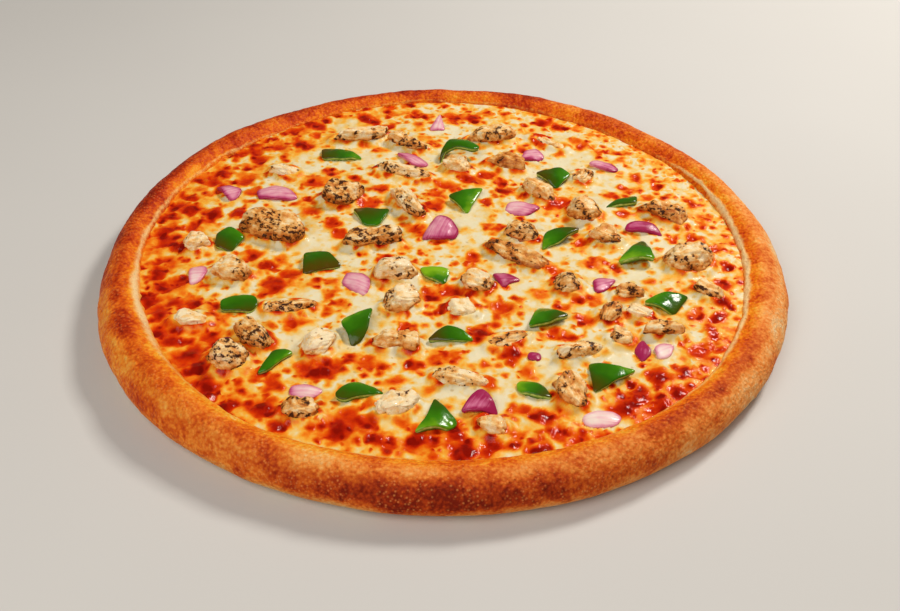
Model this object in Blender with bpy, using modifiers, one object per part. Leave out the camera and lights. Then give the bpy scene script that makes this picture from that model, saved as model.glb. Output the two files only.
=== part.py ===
"""A whole pan pizza: a thick bread crust with a rolled rim, tomato sauce, melted cheese, and chicken,
green pepper and red onion on top.

Metres, with +Z up. The origin is the centre of the flat underside, and -Y is the front.
"""

import math
import random
from collections import namedtuple

import bmesh
import bpy
from mathutils import Matrix, Vector, noise
from mathutils.bvhtree import BVHTree
from mathutils.geometry import delaunay_2d_cdt

MM = 0.001

# Driving sizes
PIZZA_RADIUS = 150 * MM
RIM_HEIGHT = 19 * MM
RIM_WIDTH = 17 * MM
BASE_THICKNESS = 9 * MM
SAUCE_THICKNESS = 1.2 * MM
CHEESE_LEVEL = 14.5 * MM
GAP = 0.3 * MM
PEPPER_WALL = 2.4 * MM
ONION_WALL = 1.8 * MM
# The fused petals' wall, which reaches down into the cheese
SUNK_WALL = 3.2 * MM

# How finely the faceted solids are cut
TURN_STEPS = 80
CHEESE_CELL = 7.5 * MM
CHUNK_FACES = 92
BIT_FACES = 64
PETAL_CELL = 6 * MM
# Steps along a triangle's side at which a topping's height above the cheese is measured
SPREAD = 6

# Slow waves in the outline and in the rim's height: crests in a full turn, size, and the first crest's angle
OUTER_WAVES = ((2, 0.7 * MM, 40), (3, 0.8 * MM, -85), (4, 0.7 * MM, -155), (5, 0.7 * MM, -45))
LIP_WAVES = ((1, 0.9 * MM, 110), (3, 0.9 * MM, -90), (5, 0.8 * MM, 105))
CREST_WAVES = ((2, 0.5 * MM, 20), (5, 0.4 * MM, 60), (9, 0.3 * MM, 200))
# How far the cheese stops short of the lip, so that sauce shows
PULL_BACK = 1.6 * MM
PULL_BACK_WAVES = ((1, 0.7 * MM, -130), (6, 0.5 * MM, 30), (11, 0.5 * MM, 100))

# Chunk: a piece of grilled chicken. Places and sizes in mm, heading in degrees from +X.
# neck is how deeply its middle is pinched, and bend how far its ends turn aside.
Chunk = namedtuple("Chunk", "name x y length width height heading neck bend")
CHICKEN = [
    Chunk("chicken_01", -43, 95, 32, 12, 8, 11, 0.1, 2),
    Chunk("chicken_02", -77, 9, 34, 19, 12, -20, 0.1, -2),
    Chunk("chicken_03", -91, -23, 18, 15, 9, -18, 0, 0),
    Chunk("chicken_04", -49, 38, 21, 17, 10, -14, 0.1, 2),
    Chunk("chicken_05", -31, 2, 31, 13, 9, 11, 0.45, 0),
    Chunk("chicken_06", -19, 88, 25, 10, 7, -33, 0.1, 2),
    Chunk("chicken_07", 24, 95, 27, 13, 9, -1, 0.1, -1),
    Chunk("chicken_08", 31, 70, 23, 11, 7, -21, 0, 0),
    Chunk("chicken_09", 45, 44, 20, 13, 8, -46, 0.1, 0),
    Chunk("chicken_10", -20, 60, 30, 9, 6, -17, 0.2, -1),
    Chunk("chicken_11", -17, 31, 28, 12, 9, -60, 0.1, 1),
    Chunk("chicken_12", 65, 26, 17, 15, 10, 8, 0, 0),
    Chunk("chicken_13", 35, 8, 17, 11, 8, -13, 0, 0),
    Chunk("chicken_14", 73, 6, 16, 11, 7, -25, 0, 0),
    Chunk("chicken_15", 33, -9, 37, 11, 7, -33, 0.15, 1),
    Chunk("chicken_16", -21, -21, 20, 15, 9, 11, 0, 0),
    Chunk("chicken_17", 14, -30, 16, 14, 9, -19, 0, 0),
    Chunk("chicken_18", -17, -42, 18, 14, 9, 22, 0, 0),
    Chunk("chicken_19", 103, 25, 26, 12, 8, -33, 0.1, -2),
    Chunk("chicken_20", 108, -12, 24, 17, 11, 5, 0.15, 0),
    Chunk("chicken_21", 78, -35, 15, 9, 6, -7, 0, 0),
    Chunk("chicken_22", 90, -59, 19, 10, 7, -2, 0.1, 0),
    Chunk("chicken_23", 53, -73, 23, 10, 7, 10, 0.1, 0),
    Chunk("chicken_24", 49, -96, 19, 13, 8, -62, 0, 0),
    Chunk("chicken_25", -103, -55, 16, 10, 6, 3, 0, 0),
    Chunk("chicken_26", -76, -65, 22, 13, 9, -47, 0, 0),
    Chunk("chicken_27", -84, -79, 16, 15, 10, -2, 0, 0),
    Chunk("chicken_28", -49, -69, 16, 13, 8, 33, 0, 0),
    Chunk("chicken_29", -53, -107, 16, 10, 7, -3, 0, 0),
    Chunk("chicken_30", -18, -68, 23, 12, 8, 0, 0.55, 0),
]
# Smaller and half sunk pieces of chicken, which are one with the cheese
CHICKEN_BITS = [
    Chunk("scrap_01", -78, 61, 17, 11, 6, -18, 0, 0),
    Chunk("scrap_02", -110, -2, 13, 13, 8, 20, 0, 0),
    Chunk("scrap_03", 6, 67, 15, 13, 8, -30, 0, 0),
    Chunk("scrap_04", 53, 92, 25, 9, 5, -33, 0.2, 0),
    Chunk("scrap_05", 68, 58, 12, 11, 7, 60, 0, 0),
    Chunk("scrap_06", 53, -29, 12, 14, 8, -6, 0, 0),
    Chunk("scrap_07", 112, -33, 16, 10, 7, -33, 0.2, 0),
    Chunk("scrap_08", -64, -46, 24, 10, 6, 1, 0.1, 1),
    Chunk("scrap_09", 8, -45, 14, 13, 6, -15, 0, 0),
    Chunk("scrap_10", 26, -66, 20, 8, 5, 18, 0.1, 0),
    Chunk("scrap_11", 7, -89, 25, 11, 7, -16, 0.1, 1),
    Chunk("scrap_12", -17, -103, 19, 14, 7, 25, 0, 0),
    Chunk("scrap_13", 18, -114, 13, 10, 7, -16, 0, 0),
    Chunk("scrap_14", 69, -48, 14, 10, 7, 60, 0, 0),
    Chunk("scrap_15", 72, -63, 11, 11, 7, 10, 0, 0),
    Chunk("scrap_16", 81, -48, 13, 8, 5, -19, 0, 0),
]

# Petal: a cut piece of pepper or onion. lean tips it towards the way lean_way, and curl is the radius
# in mm that its wall keeps from the vegetable, about an axis that lies curl_way. Corners are in mm.
Petal = namedtuple("Petal", "name x y lean lean_way curl curl_way corners")
PEPPERS = [
    Petal("pepper_01", -96, 2, 8, -90, 16, 60, ((-6, -6), (2, -9), (7, 1), (-1, 8), (-7, 4))),
    Petal("pepper_02", -55, -14, 6, -90, 22, 20, ((-6, -9), (11, -3), (4, 6), (-7, 6))),
    Petal(
        "pepper_03", 6, 79, 6, 200, 16, -30,
        ((-11, -12), (-6, -4), (0, -2), (8, -5), (12, -2), (5, 6), (-3, 7), (-8, -2)),
    ),
    Petal("pepper_04", 54, 56, 12, -100, 14, 10, ((0, -9), (8, 1), (2, 7), (-10, 4))),
    Petal("pepper_05", 10, 36, 10, -80, 20, 60, ((1, -11), (9, 8), (-1, 5), (-9, 2))),
    Petal("pepper_06", -34, 21, 8, -90, 24, 0, ((-3, -6), (4, -6), (9, 6), (-9, 7))),
    Petal("pepper_07", 50, 5, 14, 200, 18, 40, ((-7, -8), (2, -4), (12, 4), (2, 6), (-5, 4))),
    Petal("pepper_08", -3, -22, 6, -60, 26, 70, ((-5, -2), (4, -7), (6, 2), (4, 4), (-8, 4))),
    Petal("pepper_09", 85, 37, 16, 120, 16, 30, ((-10, -5), (1, -4), (6, -3), (7, 4), (-4, 1))),
    Petal("pepper_10", 87, -5, 12, 100, 17, 80, ((-12, -7), (6, -8), (3, 11))),
    Petal("pepper_11", 94, -41, 12, -60, 17, 50, ((2, -8), (10, 4), (-1, 5), (-11, 0))),
    Petal(
        "pepper_12", -65, -80, 8, -60, 14, 50,
        ((-7, -7), (-2, -5), (1, -1), (7, 5), (3, 7), (-2, 6), (-4, 0)),
    ),
    Petal(
        "pepper_13", -35, -60, 12, -120, 13, 40,
        ((-2, -11), (3, -8), (5, -2), (6, 10), (-7, 4), (-7, 1), (-4, -4)),
    ),
    Petal(
        "pepper_14", -31, -97, 8, 30, 17, 0,
        ((-10, -3), (-6, -6), (0, -3), (10, 0), (5, 3), (-2, 6), (-6, 3)),
    ),
    Petal("pepper_15", 42, -52, 10, 120, 18, 20, ((-8, -7), (0, -5), (10, 0), (-3, 9))),
    Petal("pepper_16", 3, -64, 10, -90, 15, 0, ((-10, -3), (-2, -4), (10, -3), (4, 3), (-2, 5))),
    Petal(
        "pepper_17", -2, -110, 6, 0, 16, 90,
        ((-9, -8), (-2, -6), (6, -6), (9, -2), (3, 5), (-1, 10), (-4, -1)),
    ),
    Petal("pepper_18", 35, -94, 10, 60, 15, -40, ((-7, -2), (2, -5), (7, -5), (3, 3), (-3, 5), (-7, 4))),
    Petal("pepper_19", 62, -87, 10, -150, 20, 30, ((-5, -9), (13, 1), (-6, 8))),
]
PEPPER_BITS = [
    Petal(
        "pepper_scrap_01", -52, 78, 4, 90, 24, 0,
        ((-9, -6), (1, -6), (12, -5), (4, 2), (-6, 4), (-10, 4)),
    ),
    Petal(
        "pepper_scrap_02", -85, -44, 4, -90, 24, 20,
        ((-6, -5), (-1, -5), (7, -5), (9, -1), (8, 4), (4, 5), (-2, 4), (-7, 2)),
    ),
]
ONIONS = [
    Petal(
        "onion_01", -80, 43, 6, 90, 14, 10,
        ((-8, -7), (7, -7), (11, -5), (5, 2), (-3, 6), (-7, 5), (-10, 0)),
    ),
    Petal(
        "onion_02", -1, 10, 12, -90, 12, 70,
        ((-10, -6), (0, -7), (7, -6), (9, -1), (4, 6), (-2, 9), (-6, 3)),
    ),
    Petal(
        "onion_03", 37, 30, 6, -90, 13, -10,
        ((-9, -2), (-4, -5), (1, -6), (5, -3), (9, 1), (-1, 5), (-7, 5)),
    ),
    Petal(
        "onion_04", -37, -28, 6, 200, 14, -25,
        ((-7, -1), (-2, -6), (4, -9), (6, -3), (5, 3), (2, 7), (-5, 8)),
    ),
    Petal(
        "onion_05", 91, 13, 10, -90, 12, 0,
        ((-9, -1), (-4, -2), (4, -3), (9, -5), (6, 2), (0, 6), (-7, 4)),
    ),
    Petal("onion_06", 14, -103, 8, -90, 12, 60, ((-8, -5), (1, -5), (8, -6), (3, 4), (0, 6), (-4, 2))),
    Petal("onion_07", 79, -70, 14, 180, 10, 80, ((-1, -7), (4, -2), (1, 7), (-4, 0))),
    Petal(
        "onion_08", 59, -109, 4, -90, 12, 0,
        ((-8, 0), (-6, -4), (-2, -5), (5, -4), (8, 0), (6, 3), (0, 4), (-4, 3)),
    ),
]
ONION_BITS = [
    Petal(
        "onion_scrap_01", -103, 41, 4, 0, 14, 40,
        ((2, -8), (5, -5), (6, 2), (-2, 5), (-8, 6), (-2, -4)),
    ),
    Petal(
        "onion_scrap_02", -106, -24, 4, 0, 14, 10,
        ((-3, -8), (1, -6), (3, 1), (2, 6), (-5, 6), (-5, 0)),
    ),
    Petal(
        "onion_scrap_03", -16, 73, 4, 0, 14, -30,
        ((0, -5), (8, -6), (9, -2), (-1, 6), (-8, 6), (-4, 1)),
    ),
    Petal("onion_scrap_04", -4, 110, 12, -90, 14, 80, ((-5, -5), (4, -5), (1, 9))),
    Petal("onion_scrap_05", 44, 79, 4, 0, 14, 10, ((-7, -5), (4, -6), (6, -2), (1, 6), (-3, 4))),
    Petal("onion_scrap_06", 79, 68, 4, 0, 14, -20, ((-3, -2), (5, -5), (8, -2), (3, 3), (-4, 5), (-8, 2))),
    Petal("onion_scrap_07", 27, -25, 4, 0, 14, 10, ((-1, -6), (2, -2), (7, 0), (0, 5), (-6, 5), (-4, -2))),
    Petal("onion_scrap_08", 69, -28, 4, 0, 14, 30, ((-5, -6), (-1, -6), (4, 0), (6, 4), (-1, 5), (-5, 3))),
    Petal("onion_scrap_09", -87, -67, 4, 0, 14, 30, ((-6, -2), (-1, -3), (0, 2), (-4, 3))),
    Petal(
        "onion_scrap_10", -52, -96, 4, 0, 12, 0,
        ((-7, 0), (-5, -3), (-1, -5), (4, -3), (7, 1), (1, 4), (-5, 4)),
    ),
    Petal("onion_scrap_11", 36, -75, 4, 0, 10, 30, ((-3, -2), (3, -3), (3, 2), (-2, 3))),
    Petal("onion_scrap_12", 88, -71, 4, 0, 14, 30, ((-4, -6), (1, -5), (4, 2), (-1, 4), (-5, 1))),
]

COLOURS = {
    "bread": (0.55, 0.23, 0.07),
    "sauce": (0.42, 0.04, 0.01),
    "cheese": (0.80, 0.60, 0.30),
    "chicken": (0.62, 0.42, 0.22),
    "pepper": (0.05, 0.22, 0.02),
    "onion": (0.52, 0.18, 0.28),
}
ROUGHNESS = {"bread": 0.6, "sauce": 0.25, "cheese": 0.35, "chicken": 0.5, "pepper": 0.2, "onion": 0.3}


def clear_scene():
    for obj in list(bpy.data.objects):
        bpy.data.objects.remove(obj, do_unlink=True)


def new_collection(name):
    collection = bpy.data.collections.new(name)
    bpy.context.scene.collection.children.link(collection)
    return collection


def material(name):
    """A Principled material in the named food's colour, made once."""
    found = bpy.data.materials.get(name)
    if found:
        return found
    made = bpy.data.materials.new(name)
    made.use_nodes = True
    shader = made.node_tree.nodes["Principled BSDF"]
    shader.inputs["Base Color"].default_value = (*COLOURS[name], 1)
    shader.inputs["Roughness"].default_value = ROUGHNESS[name]
    shader.inputs["Metallic"].default_value = 0
    return made


def add_mesh(name, mesh, food, collection):
    obj = bpy.data.objects.new(name, mesh)
    collection.objects.link(obj)
    mesh.materials.clear()
    mesh.materials.append(material(food))
    return obj


def mesh_from(bm, name):
    bmesh.ops.recalc_face_normals(bm, faces=bm.faces)
    mesh = bpy.data.meshes.new(name)
    bm.to_mesh(mesh)
    bm.free()
    return mesh


def apply_modifiers(obj):
    """Gives obj the mesh that its modifiers make, and takes them off."""
    graph = bpy.context.evaluated_depsgraph_get()
    mesh = bpy.data.meshes.new_from_object(obj.evaluated_get(graph))
    obj.modifiers.clear()
    obj.data = mesh


def wave(waves, angle):
    return sum(size * math.cos(count * angle - math.radians(crest)) for count, size, crest in waves)


def at(radius, angle, height):
    return Vector((radius * math.cos(angle), radius * math.sin(angle), height))


# The crust is turned, and its outline and crest then wander by the waves.

LIP_RADIUS = PIZZA_RADIUS - RIM_WIDTH
LIP_HEIGHT = 14.8 * MM
FLOOR_RADIUS = LIP_RADIUS - 2 * MM


def crust_profile():
    """Half of the crust's section, from the floor's centre over the rim to the underside's centre."""
    r, h = PIZZA_RADIUS, RIM_HEIGHT
    return [
        (0, BASE_THICKNESS),
        (FLOOR_RADIUS, BASE_THICKNESS),
        (LIP_RADIUS - 1.4 * MM, 12 * MM),
        (LIP_RADIUS, LIP_HEIGHT),
        (LIP_RADIUS + 2 * MM, h - 2.2 * MM),
        (LIP_RADIUS + 4.6 * MM, h - 0.6 * MM),
        (LIP_RADIUS + 7.8 * MM, h),
        (r - 5.8 * MM, h - 1.2 * MM),
        (r - 2.8 * MM, h - 3.8 * MM),
        (r - 0.8 * MM, h - 7.2 * MM),
        (r, h - 10.8 * MM),
        (r - 1.1 * MM, 4.6 * MM),
        (r - 3.6 * MM, 1.6 * MM),
        (r - 7 * MM, 0),
        (0, 0),
    ]


def outline_shift(radius, angle):
    """How far a point of the crust at this radius moves outwards. The lip's waves run out into the rim's."""
    lip = wave(LIP_WAVES, angle)
    if radius <= LIP_RADIUS:
        return lip * radius / LIP_RADIUS
    share = (radius - LIP_RADIUS) / RIM_WIDTH
    return lip + (wave(OUTER_WAVES, angle) - lip) * share


def crest_rise(radius, height, angle):
    """The rim's crest wanders up and down, and its foot and the floor stay where they are."""
    if radius < LIP_RADIUS - 1.5 * MM or height <= 0:
        return 0
    return wave(CREST_WAVES, angle) * min(1, height / RIM_HEIGHT) ** 2


def make_crust(collection):
    mesh = bpy.data.meshes.new("crust")
    bm = bmesh.new()
    points = [bm.verts.new((radius, 0, height)) for radius, height in crust_profile()]
    for first, second in zip(points, points[1:]):
        bm.edges.new((first, second))
    bm.to_mesh(mesh)
    bm.free()
    crust = add_mesh("crust", mesh, "bread", collection)
    turn = crust.modifiers.new("turn", "SCREW")
    turn.steps = TURN_STEPS
    turn.render_steps = TURN_STEPS
    turn.use_merge_vertices = True
    turn.merge_threshold = 0.01 * MM
    apply_modifiers(crust)
    crust.data.materials.clear()
    crust.data.materials.append(material("bread"))
    for vertex in crust.data.vertices:
        radius = math.hypot(vertex.co.x, vertex.co.y)
        angle = math.atan2(vertex.co.y, vertex.co.x)
        height = vertex.co.z
        rise = crest_rise(radius, height, angle)
        vertex.co = at(radius + outline_shift(radius, angle), angle, height + rise)
    crust.data.shade_smooth()
    return crust


def ring_angles():
    return [math.tau * step / TURN_STEPS for step in range(TURN_STEPS)]


def make_sauce(collection):
    """A thin disc on the bread, out to the rim."""
    bm = bmesh.new()
    rim = FLOOR_RADIUS
    bmesh.ops.create_cone(
        bm, cap_ends=True, segments=TURN_STEPS, radius1=rim, radius2=rim, depth=SAUCE_THICKNESS
    )
    for vertex in bm.verts:
        angle = math.atan2(vertex.co.y, vertex.co.x)
        radius = FLOOR_RADIUS - 2 * GAP + outline_shift(FLOOR_RADIUS, angle)
        height = BASE_THICKNESS + GAP + SAUCE_THICKNESS / 2 + vertex.co.z
        vertex.co = at(radius, angle, height)
    return add_mesh("sauce", mesh_from(bm, "sauce"), "sauce", collection)


# The cheese is a sheet over the sauce: lumpy on top, pressed in under the toppings, and thin at its edge.

CHEESE_FOOT = BASE_THICKNESS + SAUCE_THICKNESS + 2 * GAP
EDGE_HEIGHT = CHEESE_FOOT + 1.6 * MM
EDGE_FALL = 7 * MM
PRESSED_IN = 1.4 * MM
# Lumps in the cheese: how far apart, and how high
LUMPS = ((22 * MM, 0.9 * MM), (9 * MM, 0.45 * MM))
# How far past a topping's sides the cheese is pressed in, in mm
MARGIN = 4


def cheese_radius(angle):
    short = max(0.6 * MM, PULL_BACK + wave(PULL_BACK_WAVES, angle))
    return FLOOR_RADIUS + outline_shift(FLOOR_RADIUS, angle) - short


def cheese_height(x, y):
    """The cheese's surface before anything presses it in."""
    angle = math.atan2(y, x)
    inside = cheese_radius(angle) - math.hypot(x, y)
    share = min(1, max(0, inside / EDGE_FALL))
    share = share * (2 - share)
    lumps = sum(noise.noise(Vector((x, y, spacing)) / spacing) * size for spacing, size in LUMPS)
    return EDGE_HEIGHT + (CHEESE_LEVEL + lumps - EDGE_HEIGHT) * share


def is_under_topping(x, y):
    """True where a topping that is a node of its own lies on the cheese."""
    for piece in CHICKEN:
        turn = Matrix.Rotation(math.radians(-piece.heading), 2)
        along, across = turn @ Vector((x / MM - piece.x, y / MM - piece.y))
        half_length = piece.length / 2 + MARGIN
        half_width = piece.width / 2 + MARGIN
        if math.hypot(along / half_length, across / half_width) < 1:
            return True
    for piece in PEPPERS + ONIONS:
        point = Vector((x / MM - piece.x, y / MM - piece.y))
        corners = [Vector(corner) for corner in piece.corners]
        if is_inside(point, corners) or edge_distance(point, corners) < MARGIN:
            return True
    return False


def flat_triangles(outline, cell):
    """Triangles that fill a flat outline, with inner points on a lattice of this spacing."""
    corners = [Vector(point) for point in outline]
    low = Vector((min(c.x for c in corners), min(c.y for c in corners)))
    high = Vector((max(c.x for c in corners), max(c.y for c in corners)))
    points = list(corners)
    row_step = cell * math.sqrt(3) / 2
    for row in range(int((high.y - low.y) / row_step) + 1):
        start = low.x + (cell / 2 if row % 2 else 0)
        for column in range(int((high.x - start) / cell) + 1):
            point = Vector((start + column * cell, low.y + row * row_step))
            if is_inside(point, corners) and edge_distance(point, corners) > cell * 0.5:
                points.append(point)
    ring = list(range(len(corners)))
    edges = list(zip(ring, ring[1:] + ring[:1]))
    verts, _, faces, *_ = delaunay_2d_cdt(points, edges, [], 1, 1e-7)
    return verts, faces


def is_inside(point, corners):
    inside = False
    for first, second in zip(corners, corners[1:] + corners[:1]):
        if (first.y > point.y) != (second.y > point.y):
            crossing = first.x + (point.y - first.y) * (second.x - first.x) / (second.y - first.y)
            if point.x < crossing:
                inside = not inside
    return inside


def edge_distance(point, corners):
    nearest = math.inf
    for first, second in zip(corners, corners[1:] + corners[:1]):
        along = second - first
        share = min(1, max(0, (point - first).dot(along) / along.length_squared))
        nearest = min(nearest, (first + along * share - point).length)
    return nearest


def make_cheese(collection):
    outline = [at(cheese_radius(angle), angle, 0).to_2d() for angle in ring_angles()]
    verts, faces = flat_triangles(outline, CHEESE_CELL)
    bm = bmesh.new()
    tops = []
    for point in verts:
        height = cheese_height(point.x, point.y)
        if is_under_topping(point.x, point.y):
            height = min(height, CHEESE_LEVEL) - PRESSED_IN
        tops.append(bm.verts.new((point.x, point.y, height)))
    for face in faces:
        bm.faces.new([tops[index] for index in face])
    rim = [edge for edge in bm.edges if edge.is_boundary]
    skirt = bmesh.ops.extrude_edge_only(bm, edges=rim)["geom"]
    for vertex in (item for item in skirt if isinstance(item, bmesh.types.BMVert)):
        vertex.co.z = CHEESE_FOOT
    foot = [item for item in skirt if isinstance(item, bmesh.types.BMEdge) and item.is_boundary]
    bmesh.ops.edgeloop_fill(bm, edges=foot)
    return add_mesh("cheese", mesh_from(bm, "cheese"), "cheese", collection)


# A chunk of chicken is a blunt, lumpy ball, cut by a few flat strokes of a knife and flat underneath.

CHUNK_BLUNTNESS = 2.5
# How far below its middle a chunk is cut flat, as a share of its height above it
CHUNK_FLAT = 0.45
CHUNK_LUMPS = ((1.5, 0.17), (3.4, 0.09))
# Where along its half length a bent chunk crosses its own middle line, squared
BEND_MIDDLE = 0.4
PINCH_REACH = 0.28
PINCH_IN_HEIGHT = 0.6
# The knife's strokes round a chunk: how many, how far out as a share of its size, how steep, and how flat
# they leave it. One more stroke comes from above.
CUT_COUNT = 6
CUT_DEPTH = (0.68, 0.92)
CUT_TILT = (-0.1, 0.7)
CUT_JITTER = 0.3
CUT_FLATNESS = 0.88
TOP_DEPTH = (0.62, 0.85)
TOP_TILT = 0.35


# How far apart in the noise two chunks' lumps are taken
LUMP_SPREAD = 50


def drawn_form(piece):
    """The knife's flat strokes, each with the way it faces and how far out it lies, and the lumps' place."""
    draw = random.Random(piece.name)
    cuts = []
    for number in range(CUT_COUNT):
        around = math.tau * (number + draw.uniform(-CUT_JITTER, CUT_JITTER)) / CUT_COUNT
        way = Vector((math.cos(around), math.sin(around), draw.uniform(*CUT_TILT)))
        cuts.append((way.normalized(), draw.uniform(*CUT_DEPTH)))
    around = draw.uniform(0, math.tau)
    top = Vector((TOP_TILT * math.cos(around), TOP_TILT * math.sin(around), 1)).normalized()
    cuts.append((top, draw.uniform(*TOP_DEPTH)))
    return cuts, Vector([draw.uniform(0, LUMP_SPREAD) for _ in range(3)])


def chunk_point(way, piece, cuts, lump_place):
    """Where the chunk's surface lies in the direction way, from its middle, in mm."""
    reach = sum(abs(part) ** CHUNK_BLUNTNESS for part in way) ** (-1 / CHUNK_BLUNTNESS)
    lumps = 1 + sum(size * noise.noise(way * count + lump_place) for count, size in CHUNK_LUMPS)
    unit = way * reach * lumps
    for facing, depth in cuts:
        over = unit.dot(facing) - depth
        if over > 0:
            unit -= facing * over * CUT_FLATNESS
    pinch = piece.neck * math.exp(-((unit.x / PINCH_REACH) ** 2))
    above = piece.height / (1 + CHUNK_FLAT)
    x = unit.x * piece.length / 2
    y = unit.y * piece.width / 2 * (1 - pinch) + piece.bend * (unit.x**2 - BEND_MIDDLE)
    z = unit.z * above * (1 - pinch * PINCH_IN_HEIGHT)
    return Vector((x, y, max(z, -CHUNK_FLAT * above)))


def make_chunk(piece, faces, collection):
    bm = bmesh.new()
    bmesh.ops.create_icosphere(bm, subdivisions=4, radius=1)
    cuts, lump_place = drawn_form(piece)
    for vertex in bm.verts:
        vertex.co = chunk_point(vertex.co.normalized(), piece, cuts, lump_place) * MM
    chunk = add_mesh(piece.name, mesh_from(bm, piece.name), "chicken", collection)
    thin = chunk.modifiers.new("thin", "DECIMATE")
    thin.ratio = faces / len(chunk.data.polygons)
    apply_modifiers(chunk)
    turn = Matrix.Rotation(math.radians(piece.heading), 4, "Z")
    chunk.data.transform(Matrix.Translation(Vector((piece.x, piece.y, 0)) * MM) @ turn)
    return chunk


# A petal is a flat cut outline laid round the vegetable's own curve, with a wall's thickness.

PETAL_CORNER = 1.2 * MM
# The vegetable's curve the other way is this many times slacker
SLACKER = 2.5


def rounded(corners, cut, cell):
    """The outline in metres with each corner cut back a little and long sides divided."""
    corners = [Vector(corner) * MM for corner in corners]
    points = []
    for before, here, after in zip(corners[-1:] + corners[:-1], corners, corners[1:] + corners[:1]):
        start = here + (before - here).normalized() * cut
        end = here + (after - here).normalized() * cut
        following = after + (here - after).normalized() * cut
        points += [start, end]
        parts = max(1, round((following - end).length / cell))
        points += [end.lerp(following, part / parts) for part in range(1, parts)]
    return points


def petal_point(point, piece):
    """The flat point laid on a cylinder of the curl's radius, whose axis lies curl_way."""
    turn = Matrix.Rotation(math.radians(piece.curl_way), 2)
    along, across = turn.transposed() @ point
    radius = piece.curl * MM
    bent = Vector((along, radius * math.sin(across / radius)))
    sag = radius * (1 - math.cos(across / radius)) + along**2 / (2 * SLACKER * radius)
    flat = turn @ bent
    return Vector((flat.x, flat.y, -sag))


def make_petal(piece, wall, food, collection):
    verts, faces = flat_triangles(rounded(piece.corners, PETAL_CORNER, PETAL_CELL), PETAL_CELL)
    bm = bmesh.new()
    tops = [bm.verts.new(petal_point(point, piece)) for point in verts]
    for face in faces:
        bm.faces.new([tops[index] for index in face])
    for face in bm.faces:
        face.normal_update()
        if face.normal.z < 0:
            face.normal_flip()
    mesh = bpy.data.meshes.new(piece.name)
    bm.to_mesh(mesh)
    bm.free()
    petal = add_mesh(piece.name, mesh, food, collection)
    shell = petal.modifiers.new("wall", "SOLIDIFY")
    shell.thickness = wall
    shell.offset = -1
    apply_modifiers(petal)
    way = math.radians(piece.lean_way)
    lean = Matrix.Rotation(math.radians(piece.lean), 4, Vector((-math.sin(way), math.cos(way), 0)))
    petal.data.transform(Matrix.Translation(Vector((piece.x, piece.y, 0)) * MM) @ lean)
    return petal


# Toppings are let down on the cheese until they would touch it.


def surface_tree(obj):
    bm = bmesh.new()
    bm.from_mesh(obj.data)
    tree = BVHTree.FromBMesh(bm)
    bm.free()
    return tree


def surface_points(obj):
    """Points spread over every triangle of obj, its corners and edges too."""
    mesh = obj.data
    mesh.calc_loop_triangles()
    for triangle in mesh.loop_triangles:
        a, b, c = (mesh.vertices[index].co for index in triangle.vertices)
        for step in range(SPREAD + 1):
            for other in range(SPREAD + 1 - step):
                yield a + (b - a) * (step / SPREAD) + (c - a) * (other / SPREAD)


def lay_on(topping, base_tree, gap):
    """Moves a topping up or down until it clears the base's upper face by this gap."""
    up = Vector((0, 0, 1))
    heights = []
    for point in surface_points(topping):
        hit = base_tree.ray_cast(point + up, -up)[0]
        if hit:
            heights.append(point.z - hit.z)
    topping.data.transform(Matrix.Translation(up * (gap - min(heights))))


def fuse(base, pieces):
    """One Boolean union of base with all the pieces, which are then removed."""
    scraps = new_collection("scraps")
    for piece in pieces:
        for old in piece.users_collection:
            old.objects.unlink(piece)
        scraps.objects.link(piece)
    union = base.modifiers.new("union", "BOOLEAN")
    union.operation = "UNION"
    union.operand_type = "COLLECTION"
    union.collection = scraps
    union.solver = "EXACT"
    apply_modifiers(base)
    for piece in pieces:
        bpy.data.objects.remove(piece, do_unlink=True)
    bpy.data.collections.remove(scraps)


def centre_on_origin(objects, crust):
    """Moves everything so that the crust's box is centred on the origin."""
    xs = [vertex.co.x for vertex in crust.data.vertices]
    ys = [vertex.co.y for vertex in crust.data.vertices]
    middle = Vector((min(xs) + max(xs), min(ys) + max(ys), 0)) / 2
    for obj in objects:
        obj.data.transform(Matrix.Translation(-middle))


# How deep the fused pieces sit in the cheese
CHUNK_SUNK = 1.4 * MM
PETAL_SUNK = 2.4 * MM


def build():
    clear_scene()
    pizza = new_collection("pan_pizza")
    crust = make_crust(pizza)
    sauce = make_sauce(pizza)
    cheese = make_cheese(pizza)

    chunk_bits = [make_chunk(piece, BIT_FACES, pizza) for piece in CHICKEN_BITS]
    petal_bits = [make_petal(piece, SUNK_WALL, "pepper", pizza) for piece in PEPPER_BITS]
    petal_bits += [make_petal(piece, SUNK_WALL, "onion", pizza) for piece in ONION_BITS]
    cheese_tree = surface_tree(cheese)
    for bit in chunk_bits:
        lay_on(bit, cheese_tree, -CHUNK_SUNK)
    for bit in petal_bits:
        lay_on(bit, cheese_tree, -PETAL_SUNK)

    toppings = [make_chunk(piece, CHUNK_FACES, pizza) for piece in CHICKEN]
    toppings += [make_petal(piece, PEPPER_WALL, "pepper", pizza) for piece in PEPPERS]
    toppings += [make_petal(piece, ONION_WALL, "onion", pizza) for piece in ONIONS]
    for topping in toppings:
        lay_on(topping, cheese_tree, GAP)

    fuse(cheese, chunk_bits + petal_bits)
    centre_on_origin([crust, sauce, cheese, *toppings], crust)


build()
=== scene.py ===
"""The looks of a whole pan pizza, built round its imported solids.

Metres, with +Z up. The tables of toppings, the waves of the crust and the shape functions are those of
the solids, cut much finer here.
"""

import math
import random
from collections import namedtuple

import bmesh
import bpy
import numpy as np
from mathutils import Matrix, Vector, noise
from mathutils.bvhtree import BVHTree
from mathutils.geometry import delaunay_2d_cdt


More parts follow.
